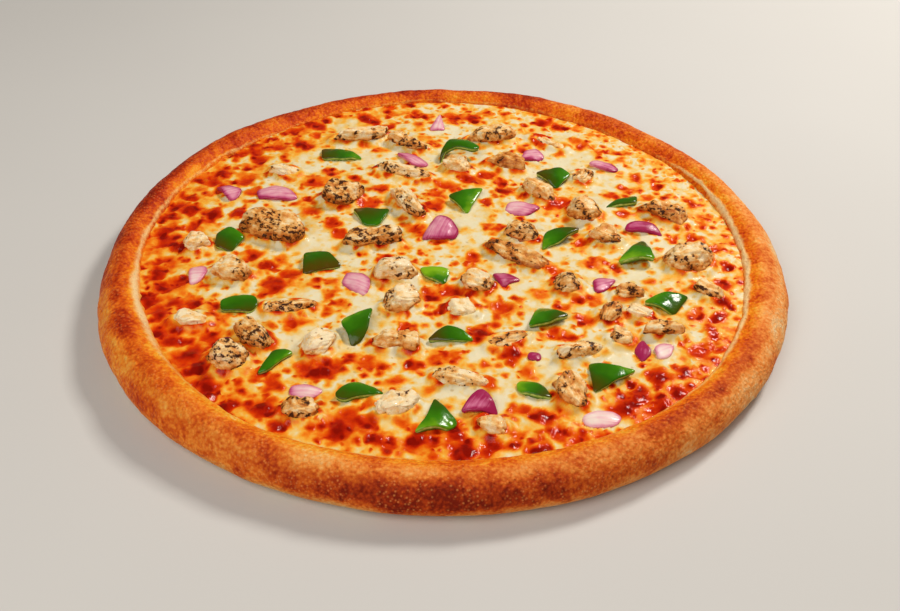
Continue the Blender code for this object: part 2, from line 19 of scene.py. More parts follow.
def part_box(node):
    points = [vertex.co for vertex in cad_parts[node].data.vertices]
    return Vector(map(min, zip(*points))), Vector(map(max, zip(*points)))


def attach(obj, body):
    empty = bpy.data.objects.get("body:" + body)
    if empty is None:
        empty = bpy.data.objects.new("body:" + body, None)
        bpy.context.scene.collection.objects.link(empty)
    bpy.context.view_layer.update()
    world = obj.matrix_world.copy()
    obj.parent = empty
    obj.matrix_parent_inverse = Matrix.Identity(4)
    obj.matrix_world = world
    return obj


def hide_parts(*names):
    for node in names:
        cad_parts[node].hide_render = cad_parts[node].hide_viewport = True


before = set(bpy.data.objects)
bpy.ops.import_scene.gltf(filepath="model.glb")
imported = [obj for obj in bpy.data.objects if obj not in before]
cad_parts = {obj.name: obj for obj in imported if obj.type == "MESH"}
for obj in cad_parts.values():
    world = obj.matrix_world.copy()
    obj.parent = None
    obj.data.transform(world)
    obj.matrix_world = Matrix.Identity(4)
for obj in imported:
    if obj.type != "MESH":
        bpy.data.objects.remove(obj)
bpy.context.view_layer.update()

# Blender draws its vector noise by the clock unless a seed is set
noise.seed_set(1)

MM = 0.001
BODY = "root"

# Sizes of the crust and its filling
PIZZA_RADIUS = 150 * MM
RIM_HEIGHT = 19 * MM
RIM_WIDTH = 17 * MM
BASE_THICKNESS = 9 * MM
SAUCE_THICKNESS = 1.2 * MM
CHEESE_LEVEL = 14.5 * MM
GAP = 0.3 * MM
PEPPER_WALL = 2.4 * MM
ONION_WALL = 1.8 * MM
LIP_RADIUS = PIZZA_RADIUS - RIM_WIDTH
LIP_HEIGHT = 14.8 * MM
FLOOR_RADIUS = LIP_RADIUS - 2 * MM
CHEESE_FOOT = BASE_THICKNESS + SAUCE_THICKNESS + 2 * GAP

# Slow waves in the outline and in the rim's height: crests in a full turn, size, first crest's angle
OUTER_WAVES = ((2, 0.7 * MM, 40), (3, 0.8 * MM, -85), (4, 0.7 * MM, -155), (5, 0.7 * MM, -45))
LIP_WAVES = ((1, 0.9 * MM, 110), (3, 0.9 * MM, -90), (5, 0.8 * MM, 105))
CREST_WAVES = ((2, 0.5 * MM, 20), (5, 0.4 * MM, 60), (9, 0.3 * MM, 200))

# Chunk: a piece of grilled chicken. Places and sizes in mm, heading in degrees from +X. neck is how much
# its middle narrows, char how much of it is blackened, and tan how brown the rest is.
Chunk = namedtuple("Chunk", "name x y length width height heading neck bend char tan")
CHICKEN = (
    (-43, 95, 32, 12, 8, 11, 0.1, 2, 0.45, 0.3),
    (-77, 9, 34, 19, 12, -20, 0.1, -2, 0.9, 0.5),
    (-91, -23, 18, 15, 9, -18, 0, 0, 0.3, 0.4),
    (-49, 38, 21, 17, 10, -14, 0.1, 2, 0.85, 0.4),
    (-31, 2, 31, 13, 9, 11, 0.45, 0, 0.8, 0.4),
    (-19, 88, 25, 10, 7, -33, 0.1, 2, 0.5, 0.5),
    (24, 95, 27, 13, 9, -1, 0.1, -1, 0.65, 0.4),
    (31, 70, 23, 11, 7, -21, 0, 0, 0.3, 0.9),
    (45, 44, 20, 13, 8, -46, 0.1, 0, 0.35, 0.5),
    (-20, 60, 30, 9, 6, -17, 0.2, -1, 0.65, 0.2),
    (-17, 31, 28, 12, 9, -60, 0.1, 1, 0.5, 0.3),
    (65, 26, 17, 15, 10, 8, 0, 0, 0.45, 0.4),
    (35, 8, 17, 11, 8, -13, 0, 0, 0.75, 0.4),
    (73, 6, 16, 11, 7, -25, 0, 0, 0.4, 0.7),
    (33, -9, 37, 11, 7, -33, 0.15, 1, 0.55, 0.85),
    (-21, -21, 20, 15, 9, 11, 0, 0, 0.55, 0.1),
    (14, -30, 16, 14, 9, -19, 0, 0, 0.5, 0.3),
    (-17, -42, 18, 14, 9, 22, 0, 0, 0.6, 0.2),
    (103, 25, 26, 12, 8, -33, 0.1, -2, 0.5, 0.6),
    (108, -12, 24, 17, 11, 5, 0.15, 0, 0.5, 0.3),
    (78, -35, 15, 9, 6, -7, 0, 0, 0.9, 0.6),
    (90, -59, 19, 10, 7, -2, 0.1, 0, 0.55, 0.5),
    (53, -73, 23, 10, 7, 10, 0.1, 0, 0.6, 0.3),
    (49, -96, 19, 13, 8, -62, 0, 0, 0.4, 0.6),
    (-103, -55, 16, 10, 6, 3, 0, 0, 0.2, 0.1),
    (-76, -65, 22, 13, 9, -47, 0, 0, 0.8, 0.4),
    (-84, -79, 16, 15, 10, -2, 0, 0, 0.7, 0.2),
    (-49, -69, 16, 13, 8, 33, 0, 0, 0.25, 0.0),
    (-53, -107, 16, 10, 7, -3, 0, 0, 0.6, 0.6),
    (-18, -68, 23, 12, 8, 0, 0.55, 0, 0.45, 0.5),
)
# Smaller and half sunk pieces of chicken, which in the solids are one with the cheese
CHICKEN_BITS = (
    (-78, 61, 17, 11, 6, -18, 0, 0, 0.2, 0.1),
    (-110, -2, 13, 13, 8, 20, 0, 0, 0.25, 0.2),
    (6, 67, 15, 13, 8, -30, 0, 0, 0.35, 0.4),
    (53, 92, 25, 9, 5, -33, 0.2, 0, 0.5, 0.4),
    (68, 58, 12, 11, 7, 60, 0, 0, 0.6, 0.5),
    (53, -29, 12, 14, 8, -6, 0, 0, 0.9, 0.4),
    (112, -33, 16, 10, 7, -33, 0.2, 0, 0.5, 0.4),
    (-64, -46, 24, 10, 6, 1, 0.1, 1, 0.9, 0.4),
    (8, -45, 14, 13, 6, -15, 0, 0, 0.15, 0.1),
    (26, -66, 20, 8, 5, 18, 0.1, 0, 0.7, 0.5),
    (7, -89, 25, 11, 7, -16, 0.1, 1, 0.5, 0.3),
    (-17, -103, 19, 14, 7, 25, 0, 0, 0.3, 0.0),
    (18, -114, 13, 10, 7, -16, 0, 0, 0.45, 0.4),
    (69, -48, 14, 10, 7, 60, 0, 0, 0.85, 0.6),
    (72, -63, 11, 11, 7, 10, 0, 0, 0.5, 0.4),
    (81, -48, 13, 8, 5, -19, 0, 0, 0.2, 0.1),
)

# Petal: a cut piece of pepper or onion. lean tips it towards the way lean_way, and curl is the radius
# in mm that its wall keeps from the vegetable, about an axis that lies curl_way. Corners are in mm.
# tone is how light a pepper is, or drawn where it isn't given, and how purple an onion is.
Petal = namedtuple("Petal", "name x y lean lean_way curl curl_way corners tone", defaults=[None])
PEPPERS = (
    (-96, 2, 8, -90, 16, 60, ((-6, -6), (2, -9), (7, 1), (-1, 8), (-7, 4))),
    (-55, -14, 6, -90, 22, 20, ((-6, -9), (11, -3), (4, 6), (-7, 6)), 0.25),
    (6, 79, 6, 200, 16, -30, ((-11, -12), (-6, -4), (0, -2), (8, -5), (12, -2), (5, 6), (-3, 7), (-8, -2))),
    (54, 56, 12, -100, 14, 10, ((0, -9), (8, 1), (2, 7), (-10, 4))),
    (10, 36, 10, -80, 20, 60, ((1, -11), (9, 8), (-1, 5), (-9, 2))),
    (-34, 21, 8, -90, 24, 0, ((-3, -6), (4, -6), (9, 6), (-9, 7)), 0.35),
    (50, 5, 14, 200, 18, 40, ((-7, -8), (2, -4), (12, 4), (2, 6), (-5, 4))),
    (-3, -22, 6, -60, 26, 70, ((-5, -2), (4, -7), (6, 2), (4, 4), (-8, 4)), 0.95),
    (85, 37, 16, 120, 16, 30, ((-10, -5), (1, -4), (6, -3), (7, 4), (-4, 1))),
    (87, -5, 12, 100, 17, 80, ((-12, -7), (6, -8), (3, 11))),
    (94, -41, 12, -60, 17, 50, ((2, -8), (10, 4), (-1, 5), (-11, 0))),
    (-65, -80, 8, -60, 14, 50, ((-7, -7), (-2, -5), (1, -1), (7, 5), (3, 7), (-2, 6), (-4, 0))),
    (-35, -60, 12, -120, 13, 40, ((-2, -11), (3, -8), (5, -2), (6, 10), (-7, 4), (-7, 1), (-4, -4))),
    (-31, -97, 8, 30, 17, 0, ((-10, -3), (-6, -6), (0, -3), (10, 0), (5, 3), (-2, 6), (-6, 3))),
    (42, -52, 10, 120, 18, 20, ((-8, -7), (0, -5), (10, 0), (-3, 9))),
    (3, -64, 10, -90, 15, 0, ((-10, -3), (-2, -4), (10, -3), (4, 3), (-2, 5))),
    (-2, -110, 6, 0, 16, 90, ((-9, -8), (-2, -6), (6, -6), (9, -2), (3, 5), (-1, 10), (-4, -1))),
    (35, -94, 10, 60, 15, -40, ((-7, -2), (2, -5), (7, -5), (3, 3), (-3, 5), (-7, 4))),
    (62, -87, 10, -150, 20, 30, ((-5, -9), (13, 1), (-6, 8))),
)
PEPPER_BITS = (
    (-52, 78, 4, 90, 24, 0, ((-9, -6), (1, -6), (12, -5), (4, 2), (-6, 4), (-10, 4))),
    (-85, -44, 4, -90, 24, 20, ((-6, -5), (-1, -5), (7, -5), (9, -1), (8, 4), (4, 5), (-2, 4), (-7, 2))),
)
ONIONS = (
    (-80, 43, 6, 90, 14, 10, ((-8, -7), (7, -7), (11, -5), (5, 2), (-3, 6), (-7, 5), (-10, 0)), 0.52),
    (-1, 10, 12, -90, 12, 70, ((-10, -6), (0, -7), (7, -6), (9, -1), (4, 6), (-2, 9), (-6, 3)), 0.66),
    (37, 30, 6, -90, 13, -10, ((-9, -2), (-4, -5), (1, -6), (5, -3), (9, 1), (-1, 5), (-7, 5)), 0.5),
    (-37, -28, 6, 200, 14, -25, ((-7, -1), (-2, -6), (4, -9), (6, -3), (5, 3), (2, 7), (-5, 8)), 0.45),
    (91, 13, 10, -90, 12, 0, ((-9, -1), (-4, -2), (4, -3), (9, -5), (6, 2), (0, 6), (-7, 4)), 0.9),
    (14, -103, 8, -90, 12, 60, ((-8, -5), (1, -5), (8, -6), (3, 4), (0, 6), (-4, 2)), 0.9),
    (79, -70, 14, 180, 10, 80, ((-1, -7), (4, -2), (1, 7), (-4, 0)), 1.0),
    (59, -109, 4, -90, 12, 0, ((-8, 0), (-6, -4), (-2, -5), (5, -4), (8, 0), (6, 3), (0, 4), (-4, 3)), 0.1),
)
ONION_BITS = (
    (-103, 41, 4, 0, 14, 40, ((2, -8), (5, -5), (6, 2), (-2, 5), (-8, 6), (-2, -4)), 0.6),
    (-106, -24, 4, 0, 14, 10, ((-3, -8), (1, -6), (3, 1), (2, 6), (-5, 6), (-5, 0)), 0.3),
    (-16, 73, 4, 0, 14, -30, ((0, -5), (8, -6), (9, -2), (-1, 6), (-8, 6), (-4, 1)), 0.5),
    (-4, 110, 12, -90, 14, 80, ((-5, -5), (4, -5), (1, 9)), 0.25),
    (44, 79, 4, 0, 14, 10, ((-7, -5), (4, -6), (6, -2), (1, 6), (-3, 4)), 0.5),
    (79, 68, 4, 0, 14, -20, ((-3, -2), (5, -5), (8, -2), (3, 3), (-4, 5), (-8, 2)), 0.5),
    (27, -25, 4, 0, 14, 10, ((-1, -6), (2, -2), (7, 0), (0, 5), (-6, 5), (-4, -2)), 0.9),
    (69, -28, 4, 0, 14, 30, ((-5, -6), (-1, -6), (4, 0), (6, 4), (-1, 5), (-5, 3)), 0.6),
    (-87, -67, 4, 0, 14, 30, ((-6, -2), (-1, -3), (0, 2), (-4, 3)), 0.8),
    (-52, -96, 4, 0, 12, 0, ((-7, 0), (-5, -3), (-1, -5), (4, -3), (7, 1), (1, 4), (-5, 4)), 0.3),
    (36, -75, 4, 0, 10, 30, ((-3, -2), (3, -3), (3, 2), (-2, 3)), 0.9),
    (88, -71, 4, 0, 14, 30, ((-4, -6), (1, -5), (4, 2), (-1, 4), (-5, 1)), 0.2),
)

# Where the cheese browned or thinned out to sauce: each radius, and the middles x, y, all in mm
DEEP_RED = {
    2.5: ((-90, 93), (-84, 99), (-43, 127), (118, 36)),
    3: (
        (-120, 52), (-105, 76), (-97, 86), (-30, 108), (-20, 132), (-120, 37), (-118, -4), (-88, -98),
        (-80, -103), (-61, -115), (25, -123), (12, -36), (118, -40), (0, -45), (-110, 3),
    ),
    3.5: (
        (-37, 112), (-96, 25), (-112, -42), (-104, -43), (-23, -121), (27, -73), (60, 109), (109, -59),
        (114, -49), (121, -27), (36, -108),
    ),
    4: (
        (-109, 60), (-113, 52), (-71, 110), (-42, 117), (-127, 20), (-127, 10), (-118, 27), (-124, -22),
        (-125, -41), (-96, -84), (-90, -92), (-77, -16), (5, -118), (35, -125), (15, -62), (30, 47),
        (14, 118), (52, 114), (95, -82), (90, -95), (83, -101),
    ),
    4.5: ((-73, 88), (-107, 24), (-117, -51), (-108, -67), (-67, -105), (83, -86)),
    5: ((-100, -76), (-48, -84), (-38, -115), (-9, -120), (8, -127), (74, -97), (68, -104)),
    5.5: ((-72, -30),),
}
RED = {
    2.5: ((-63, 114), (-58, 121), (42, 109), (103, 5), (-96, -44), (86, 50)),
    3: (
        (-66, 107), (-30, 130), (-11, 118), (-102, 78), (-66, 98), (-78, 102), (-103, 52), (-108, 45),
        (-66, 37), (-48, 9), (19, 36), (88, 83), (49, 31), (95, 60), (102, 52), (97, 41), (62, 3), (113, 8),
        (122, 0), (-70, -87), (-24, -82), (-12, -80), (-18, -124), (-12, -42), (-15, -58), (12, -18),
        (47, -27), (57, -39), (50, -43), (76, -17), (50, -120), (57, -118), (124, -14), (72, -91),
        (79, -104), (-2, 3),
    ),
    3.5: (
        (-86, 86), (-90, 43), (-43, 56), (-31, 47), (-4, 43), (3, 50), (48, 91), (40, 84), (70, 89),
        (-67, -22), (-27, -113), (51, -62), (43, -117), (110, -68), (-62, -56),
    ),
    4: (
        (-16, 121), (-95, 80), (-92, 73), (-126, 30), (-125, 3), (-115, 15), (-57, 62), (-35, 34),
        (-63, 27), (-51, 16), (0, 51), (-13, 13), (20, 61), (12, 56), (28, 54), (-123, -12), (-120, -31),
        (-113, -28), (-114, -60), (-92, -66), (-85, -8), (-53, -83), (-42, -82), (-65, -91), (3, -34),
        (13, -8), (24, -44), (60, -52), (48, -18), (28, -105), (17, -124),
    ),
    4.5: (
        (5, 117), (-63, 52), (-5, 33), (55, 35), (-30, -80), (-34, -110), (-25, -11), (45, -61), (103, -70),
    ),
    5: ((-97, 55), (-5, -36)),
}
ORANGE = {
    2: ((88, -25), (-33, -101), (-62, 75), (-52, -20)),
    2.5: (
        (20, 17), (78, 43), (67, 94), (78, 83), (88, 76), (-92, 35), (-70, 33), (-79, 60), (-70, -57),
        (-48, -47), (31, -38), (16, -80), (-26, -103), (-15, -112), (15, -56), (36, 22), (110, 30),
        (118, 20), (97, 88), (57, 80), (-80, 75), (33, 122), (76, 101),
    ),
    3: (
        (-10, 96), (-6, 90), (26, 14), (92, 47), (106, 42), (-58, -55), (-55, -28), (-47, -28), (-48, -37),
        (-41, -43), (-37, -76), (-18, -88), (-3, -76), (56, -50), (62, -38), (68, -8), (28, -118),
        (-93, -52), (-6, -95), (8, -23), (-98, 66), (22, 124),
    ),
    3.5: ((-14, 110), (-32, 84), (17, 54), (84, 27), (-72, -10), (2, -77), (22, -55), (33, -84)),
    4: ((-28, 123), (41, -36), (65, -12), (105, -48)),
}
# Where the cheese stayed pale
CREAM = {
    5: ((15, -50), (-30, 100), (78, -40), (-10, 75)),
    6: (
        (38, -82), (34, -32), (20, -91), (10, 2), (-58, -42), (-22, -110), (0, 107), (9, 72), (40, 62),
        (60, -68), (20, -100), (52, -6), (-60, -70),
    ),
    7: ((5, 20), (70, 38), (74, 30), (70, -71), (-42, -66), (-8, -98), (-68, 76)),
    8: (
        (-52, 108), (-47, 4), (12, 26), (80, 55), (62, 96), (65, 62), (84, -22), (-28, -52), (-57, -62),
        (-70, 64), (-40, 76),
    ),
    11: ((-60, 0),),
    12: ((62, 74),),
}


def wave(waves, angle):
    return sum(size * math.cos(count * angle - math.radians(crest)) for count, size, crest in waves)


def at(radius, angle, height):
    return Vector((radius * math.cos(angle), radius * math.sin(angle), height))


def smooth(low, high, value):
    """0 below low, 1 above high, and an even S between."""
    share = min(1, max(0, (value - low) / (high - low)))
    return share * share * (3 - 2 * share)


def patches(table):
    """Each patch's middle and radius in metres."""
    return [(x * MM, y * MM, radius * MM) for radius, middles in table.items() for x, y in middles]


def rough(place, size, layers=1):
    """Noise from about -1 to 1 with lumps of this size in mm. place is a Vector in metres."""
    total = 0
    weight = 1
    for layer in range(layers):
        total += weight * noise.noise(place / (size * MM) * 2**layer + Vector((0, 0, 17 * layer)))
        weight /= 2
    return total


# Materials

# How far light spreads under a surface that glows
GLOW_REACH = 1.5 * MM


class Look:
    """A procedural material: a Principled shader, and short calls that add nodes before it. Sizes in mm."""

    def __init__(self, name, glow=None, **values):
        """glow is how far red, green and blue spread under the surface, and how much of it there is."""
        self.material = bpy.data.materials.new(name)
        self.material.use_nodes = True
        self.nodes = self.material.node_tree.nodes
        self.links = self.material.node_tree.links
        self.shader = self.nodes["Principled BSDF"]
        for socket, value in values.items():
            self.shader.inputs[socket.replace("_", " ")].default_value = value
        if glow:
            self.shader.inputs["Subsurface Radius"].default_value = glow[:3]
            self.shader.inputs["Subsurface Weight"].default_value = glow[3]
            self.shader.inputs["Subsurface Scale"].default_value = GLOW_REACH

    def put(self, socket, value):
        if isinstance(value, bpy.types.NodeSocket):
            self.links.new(value, socket)
        else:
            socket.default_value = value

    def add(self, kind, inputs=None, **settings):
        made = self.nodes.new(kind)
        for name, value in settings.items():
            setattr(made, name, value)
        for name, value in (inputs or {}).items():
            self.put(made.inputs[name], value)
        return made

    def attribute(self, name, part="Fac"):
        return self.add("ShaderNodeAttribute", attribute_name=name).outputs[part]

    def place(self):
        return self.add("ShaderNodeNewGeometry").outputs["Position"]

    def noise(self, size, detail=2, where=None, roughness=0.5):
        """Noise whose lumps are about this size, from 0 to 1."""
        inputs = {"Scale": 1 / (size * MM), "Detail": detail, "Roughness": roughness}
        inputs["Vector"] = where or self.place()
        return self.add("ShaderNodeTexNoise", inputs).outputs["Fac"]

    def centred_noise(self, size, detail=2, roughness=0.5):
        """Noise from -0.5 to 0.5."""
        return self.math("SUBTRACT", self.noise(size, detail, roughness=roughness), 0.5)

    def warped(self, size, reach):
        """The place, pushed aside by up to half this reach in lumps of this size."""
        kind = "ShaderNodeVectorMath"
        inputs = {"Scale": 1 / (size * MM), "Detail": 1, "Vector": self.place()}
        push = self.add("ShaderNodeTexNoise", inputs).outputs["Color"]
        aside = self.add(kind, {0: push, 1: (0.5, 0.5, 0.5)}, operation="SUBTRACT").outputs["Vector"]
        scaled = self.add(kind, {0: aside, "Scale": reach * MM}, operation="SCALE").outputs["Vector"]
        return self.add(kind, {0: self.place(), 1: scaled}, operation="ADD").outputs["Vector"]

    def cells(self, size, output="Distance", where=None, feature="F1", flat=False):
        """Cells of about this size; flat ones are columns that stand upright."""
        inputs = {"Scale": 1 / (size * MM), "Vector": where or self.place()}
        made = self.add("ShaderNodeTexVoronoi", inputs, feature=feature)
        made.voronoi_dimensions = "2D" if flat else "3D"
        return made.outputs[output]

    def spots(self, size, fade, drawn, where=None, flat=False):
        """A round spot in each cell, which fades out over this span. Its strength is the cell's own drawn
        number, from 0 at the low end of drawn to 1 at the high end."""
        spot = self.between(self.cells(size, where=where, flat=flat), *fade, 1, 0)
        return self.times(spot, self.between(self.cells(size, "Color", where, flat=flat), *drawn))

    def math(self, operation, first, second=0, third=0):
        made = self.add("ShaderNodeMath", {0: first, 1: second, 2: third}, operation=operation)
        return made.outputs[0]

    def times(self, first, second):
        return self.math("MULTIPLY", first, second)

    def plus(self, first, second, times=1):
        return self.math("MULTIPLY_ADD", second, times, first)

    def between(self, value, low, high, to_low=0, to_high=1):
        """Maps low..high to to_low..to_high in an even S, and holds the ends."""
        inputs = {"Value": value, "From Min": low, "From Max": high, "To Min": to_low, "To Max": to_high}
        return self.add("ShaderNodeMapRange", inputs, interpolation_type="SMOOTHSTEP").outputs["Result"]

    def ramp(self, factor, *stops):
        """Colours along the factor. Each stop is its place, then red, green and blue."""
        made = self.add("ShaderNodeValToRGB", {"Fac": factor})
        points = made.color_ramp.elements
        while len(points) < len(stops):
            points.new(0.5)
        for point, (position, *colour) in zip(points, stops):
            point.position = position
            point.color = (*colour, 1)
        return made.outputs["Color"]

    def mix(self, factor, first, second):
        made = self.add("ShaderNodeMix", data_type="RGBA")
        self.put(made.inputs["Factor"], factor)
        for socket, value in ((made.inputs["A"], first), (made.inputs["B"], second)):
            self.put(socket, (*value, 1) if isinstance(value, tuple) else value)
        return made.outputs["Result"]

    def bump(self, height, distance, strength=1):
        inputs = {"Height": height, "Distance": distance * MM, "Strength": strength}
        return self.add("ShaderNodeBump", inputs).outputs["Normal"]

    def wear(self, colour, roughness, normal=None):
        self.links.new(colour, self.shader.inputs["Base Color"])
        self.put(self.shader.inputs["Roughness"], roughness)
        if normal is not None:
            self.links.new(normal, self.shader.inputs["Normal"])
        return self.material


def bread_look():
    """Browned crust: dry and pebbled outside with painted shade between the pebbles, oily golden inside, with
    cream where it baked less.
    """
    look = Look("bread", Specular_IOR_Level=0.08)
    oil = look.attribute("oil")
    bake = look.plus(look.attribute("bake"), look.centred_noise(6, 4, roughness=0.6), 0.5)
    bake = look.plus(bake, look.centred_noise(1.5, 3), 0.4)
    # The pebbles' cells give both the bump and the colour: darker in the grooves and lighter on the tops, as
    # painted shade and painted highlight
    pebbles_and_shade = look.math("SUBTRACT", look.cells(1.3, feature="SMOOTH_F1"), 0.43)
    bake = look.plus(bake, pebbles_and_shade, 0.34)
    dry = look.ramp(
        bake,
        (0.0, 0.84, 0.56, 0.27), (0.2, 0.90, 0.39, 0.11), (0.4, 0.84, 0.25, 0.040),
        (0.6, 0.64, 0.110, 0.010), (0.8, 0.42, 0.040, 0.004), (1.0, 0.20, 0.012, 0.002),
    )
    oily = look.ramp(
        bake,
        (0.0, 0.90, 0.62, 0.22), (0.2, 0.94, 0.44, 0.035), (0.4, 0.90, 0.25, 0.008),
        (0.6, 0.76, 0.12, 0.004), (0.8, 0.50, 0.035, 0.003), (1.0, 0.28, 0.012, 0.002),
    )
    colour = look.mix(oil, dry, oily)
    paler = look.attribute("cream")
    cream = look.plus(paler, look.centred_noise(2.2, 3), 0.9)
    cream = look.times(look.between(cream, 0.25, 0.9), look.between(paler, 0, 0.2))
    colour = look.mix(cream, colour, look.ramp(paler, (0.3, 0.90, 0.40, 0.035), (0.95, 0.92, 0.66, 0.33)))
    speck = look.times(look.spots(1.25, (0.1, 0.5), (0.1, 0.7)), look.attribute("specks"))
    colour = look.mix(look.times(speck, 0.5), colour, (0.90, 0.31, 0.08))
    pore = look.between(look.cells(2.1), 0.1, 0.3, 1, 0)
    pore = look.times(pore, look.between(look.noise(4), 0.5, 0.62))
    colour = look.mix(look.times(pore, 0.16), colour, (0.22, 0.02, 0.004))
    height = look.plus(look.noise(0.8, 3), speck, 0.35)
    height = look.plus(height, look.noise(2.2, 2), 0.8)
    height = look.plus(height, pore, -0.4)
    height = look.plus(height, pebbles_and_shade, -1.0)
    return look.wear(colour, look.between(oil, 0, 1, 0.62, 0.4), look.bump(height, 0.45))


def cheese_look():
    """Melted cheese, from cream through golden and orange to wet dark red, all in small spots."""
    look = Look("cheese", (1, 0.6, 0.3, 0.06), Specular_IOR_Level=0.11, Coat_Weight=0.05, Coat_Roughness=0.05)
    place = look.warped(4, 2.6)
    dots = look.spots(6.0, (0.0, 0.5), (0.15, 0.8), place, True)
    small = look.spots(3.6, (0.0, 0.45), (0.45, 0.9), place, True)
    mottle = look.plus(look.times(dots, 0.56), small, 0.42)
    mottle = look.plus(mottle, look.centred_noise(5.5, 3), 0.95)
    bake = look.plus(look.attribute("bake"), look.times(mottle, look.attribute("spotted")))
    bake = look.plus(bake, look.centred_noise(1.6, 1), 0.1)
    edges = look.cells(4.6, where=place, flat=True, feature="DISTANCE_TO_EDGE")
    strings = look.between(edges, 0.04, 0.16, 1, 0)
    strings = look.times(strings, look.between(look.noise(7, 1), 0.4, 0.6))
    strings = look.times(strings, look.attribute("strings"))
    bake = look.plus(bake, strings, -0.24)
    colour = look.ramp(
        bake,
        (0.0, 0.79, 0.69, 0.45), (0.12, 0.81, 0.57, 0.20), (0.24, 0.87, 0.43, 0.045),
        (0.36, 0.85, 0.24, 0.010), (0.5, 0.78, 0.115, 0.002), (0.66, 0.66, 0.040, 0.001),
        (0.84, 0.44, 0.011, 0.0005), (1.0, 0.24, 0.004, 0.0003),
    )
    herb = look.spots(5.0, (0.05, 0.17), (0.62, 0.7), place, True)
    herb = look.times(herb, look.between(bake, 0.1, 0.3, 0.45, 0))
    colour = look.mix(herb, colour, (0.42, 0.22, 0.02))
    wet = look.between(bake, 0.35, 0.65)
    blisters = look.times(look.noise(2.4, 1), wet)
    height = look.plus(look.noise(3.2, 2), blisters, 1.1)
    height = look.plus(height, strings, 0.2)
    return look.wear(colour, look.between(wet, 0, 1, 0.4, 0.16), look.bump(height, 0.6, 0.6))


def sauce_look():
    look = Look("sauce", Specular_IOR_Level=0.4, Coat_Weight=0.3, Coat_Roughness=0.1)
    pulp = look.noise(2.5, 3)
    colour = look.ramp(pulp, (0.3, 0.30, 0.010, 0.002), (0.55, 0.56, 0.035, 0.003), (0.8, 0.80, 0.13, 0.006))
    return look.wear(colour, look.between(pulp, 0.3, 0.8, 0.2, 0.35), look.bump(pulp, 0.8))


def chicken_look():
    """Grilled chicken: warm white to golden faces, browner low down as painted shade, with flecks of char
    gathered where the grill touched.
    """
    look = Look("chicken", (1, 0.55, 0.3, 0.06), Specular_IOR_Level=0.18, Coat_Weight=0.04)
    fibre = look.noise(1.3, 3, look.attribute("grain", "Vector"))
    char = look.plus(look.attribute("char"), look.centred_noise(4.2, 2), 1.3)
    char = look.between(char, 0.25, 0.8)
    # tan carries the browning together with the painted shade on the chunk's lower sides
    tan = look.plus(look.attribute("tan"), look.centred_noise(3.6, 4, roughness=0.6), 1.7)
    tan = look.plus(tan, char, 0.2)
    tan = look.plus(tan, look.math("SUBTRACT", fibre, 0.5), 1.1)
    colour = look.ramp(
        tan,
        (0.0, 0.92, 0.75, 0.47), (0.25, 0.90, 0.60, 0.26), (0.5, 0.83, 0.40, 0.10),
        (0.75, 0.64, 0.21, 0.03), (1.0, 0.36, 0.075, 0.008),
    )
    flecks = look.noise(1.9, 4, look.attribute("flecks", "Vector"), roughness=0.65)
    near = look.plus(flecks, char, 0.15)
    colour = look.mix(look.between(near, 0.58, 0.72, 0, 0.7), colour, (0.50, 0.16, 0.018))
    dark = look.between(near, 0.67, 0.72)
    colour = look.mix(look.times(dark, 0.95), colour, (0.040, 0.008, 0.002))
    height = look.plus(fibre, look.noise(0.8, 2), 0.4)
    height = look.plus(height, dark, -0.5)
    return look.wear(colour, look.between(dark, 0, 1, 0.48, 0.6), look.bump(height, 0.5))


def pepper_look():
    """Green pepper: waxy skin from olive to deep green, with a thin pale line of flesh at its cut edge."""
    look = Look("pepper", Specular_IOR_Level=0.16, Coat_Weight=0.2, Coat_Roughness=0.07)
    tone = look.plus(look.attribute("tone"), look.centred_noise(6, 2), 0.45)
    skin = look.ramp(
        tone,
        (0.0, 0.085, 0.050, 0.0002), (0.2, 0.050, 0.075, 0.0002), (0.42, 0.026, 0.115, 0.0004),
        (0.7, 0.040, 0.19, 0.001), (1.0, 0.22, 0.44, 0.008),
    )
    flesh = look.ramp(look.noise(1.5, 3), (0.3, 0.16, 0.34, 0.02), (0.7, 0.55, 0.66, 0.18))
    depth = look.plus(look.attribute("depth"), look.centred_noise(1.2), 0.15)
    colour = look.mix(look.between(depth, 0.1, 0.3), skin, flesh)
    colour = look.mix(look.between(depth, 0.4, 0.7), colour, (0.10, 0.20, 0.01))
    height = look.plus(look.noise(3, 2), look.noise(0.8, 2), 0.15)
    return look.wear(colour, look.between(depth, 0.1, 0.4, 0.2, 0.4), look.bump(height, 0.4, 0.6))


def onion_look():
    """Red onion: from pale pink to magenta across the piece, with fine lines along the layer."""
    look = Look("onion", (1, 0.6, 0.7, 0.08), Specular_IOR_Level=0.25, Coat_Weight=0.12, Coat_Roughness=0.12)
    lines = look.noise(1.1, 2, look.attribute("grain", "Vector"))
    tint = look.plus(look.attribute("tone"), look.math("SUBTRACT", lines, 0.5), 0.7)
    tint = look.plus(tint, look.centred_noise(5), 0.6)
    tint = look.plus(tint, look.attribute("edge"), 0.4)
    tint = look.plus(tint, look.attribute("depth"), -0.3)
    colour = look.ramp(
        tint,
        (0.0, 0.90, 0.74, 0.64), (0.25, 0.86, 0.56, 0.55), (0.5, 0.76, 0.32, 0.40),
        (0.75, 0.58, 0.12, 0.24), (1.0, 0.36, 0.012, 0.08),
    )
    return look.wear(colour, 0.34, look.bump(lines, 0.25, 0.5))


# Mesh building


def put_in_scene(name, data):
    made = bpy.data.objects.new(name, data)
    bpy.context.scene.collection.objects.link(made)
    return made


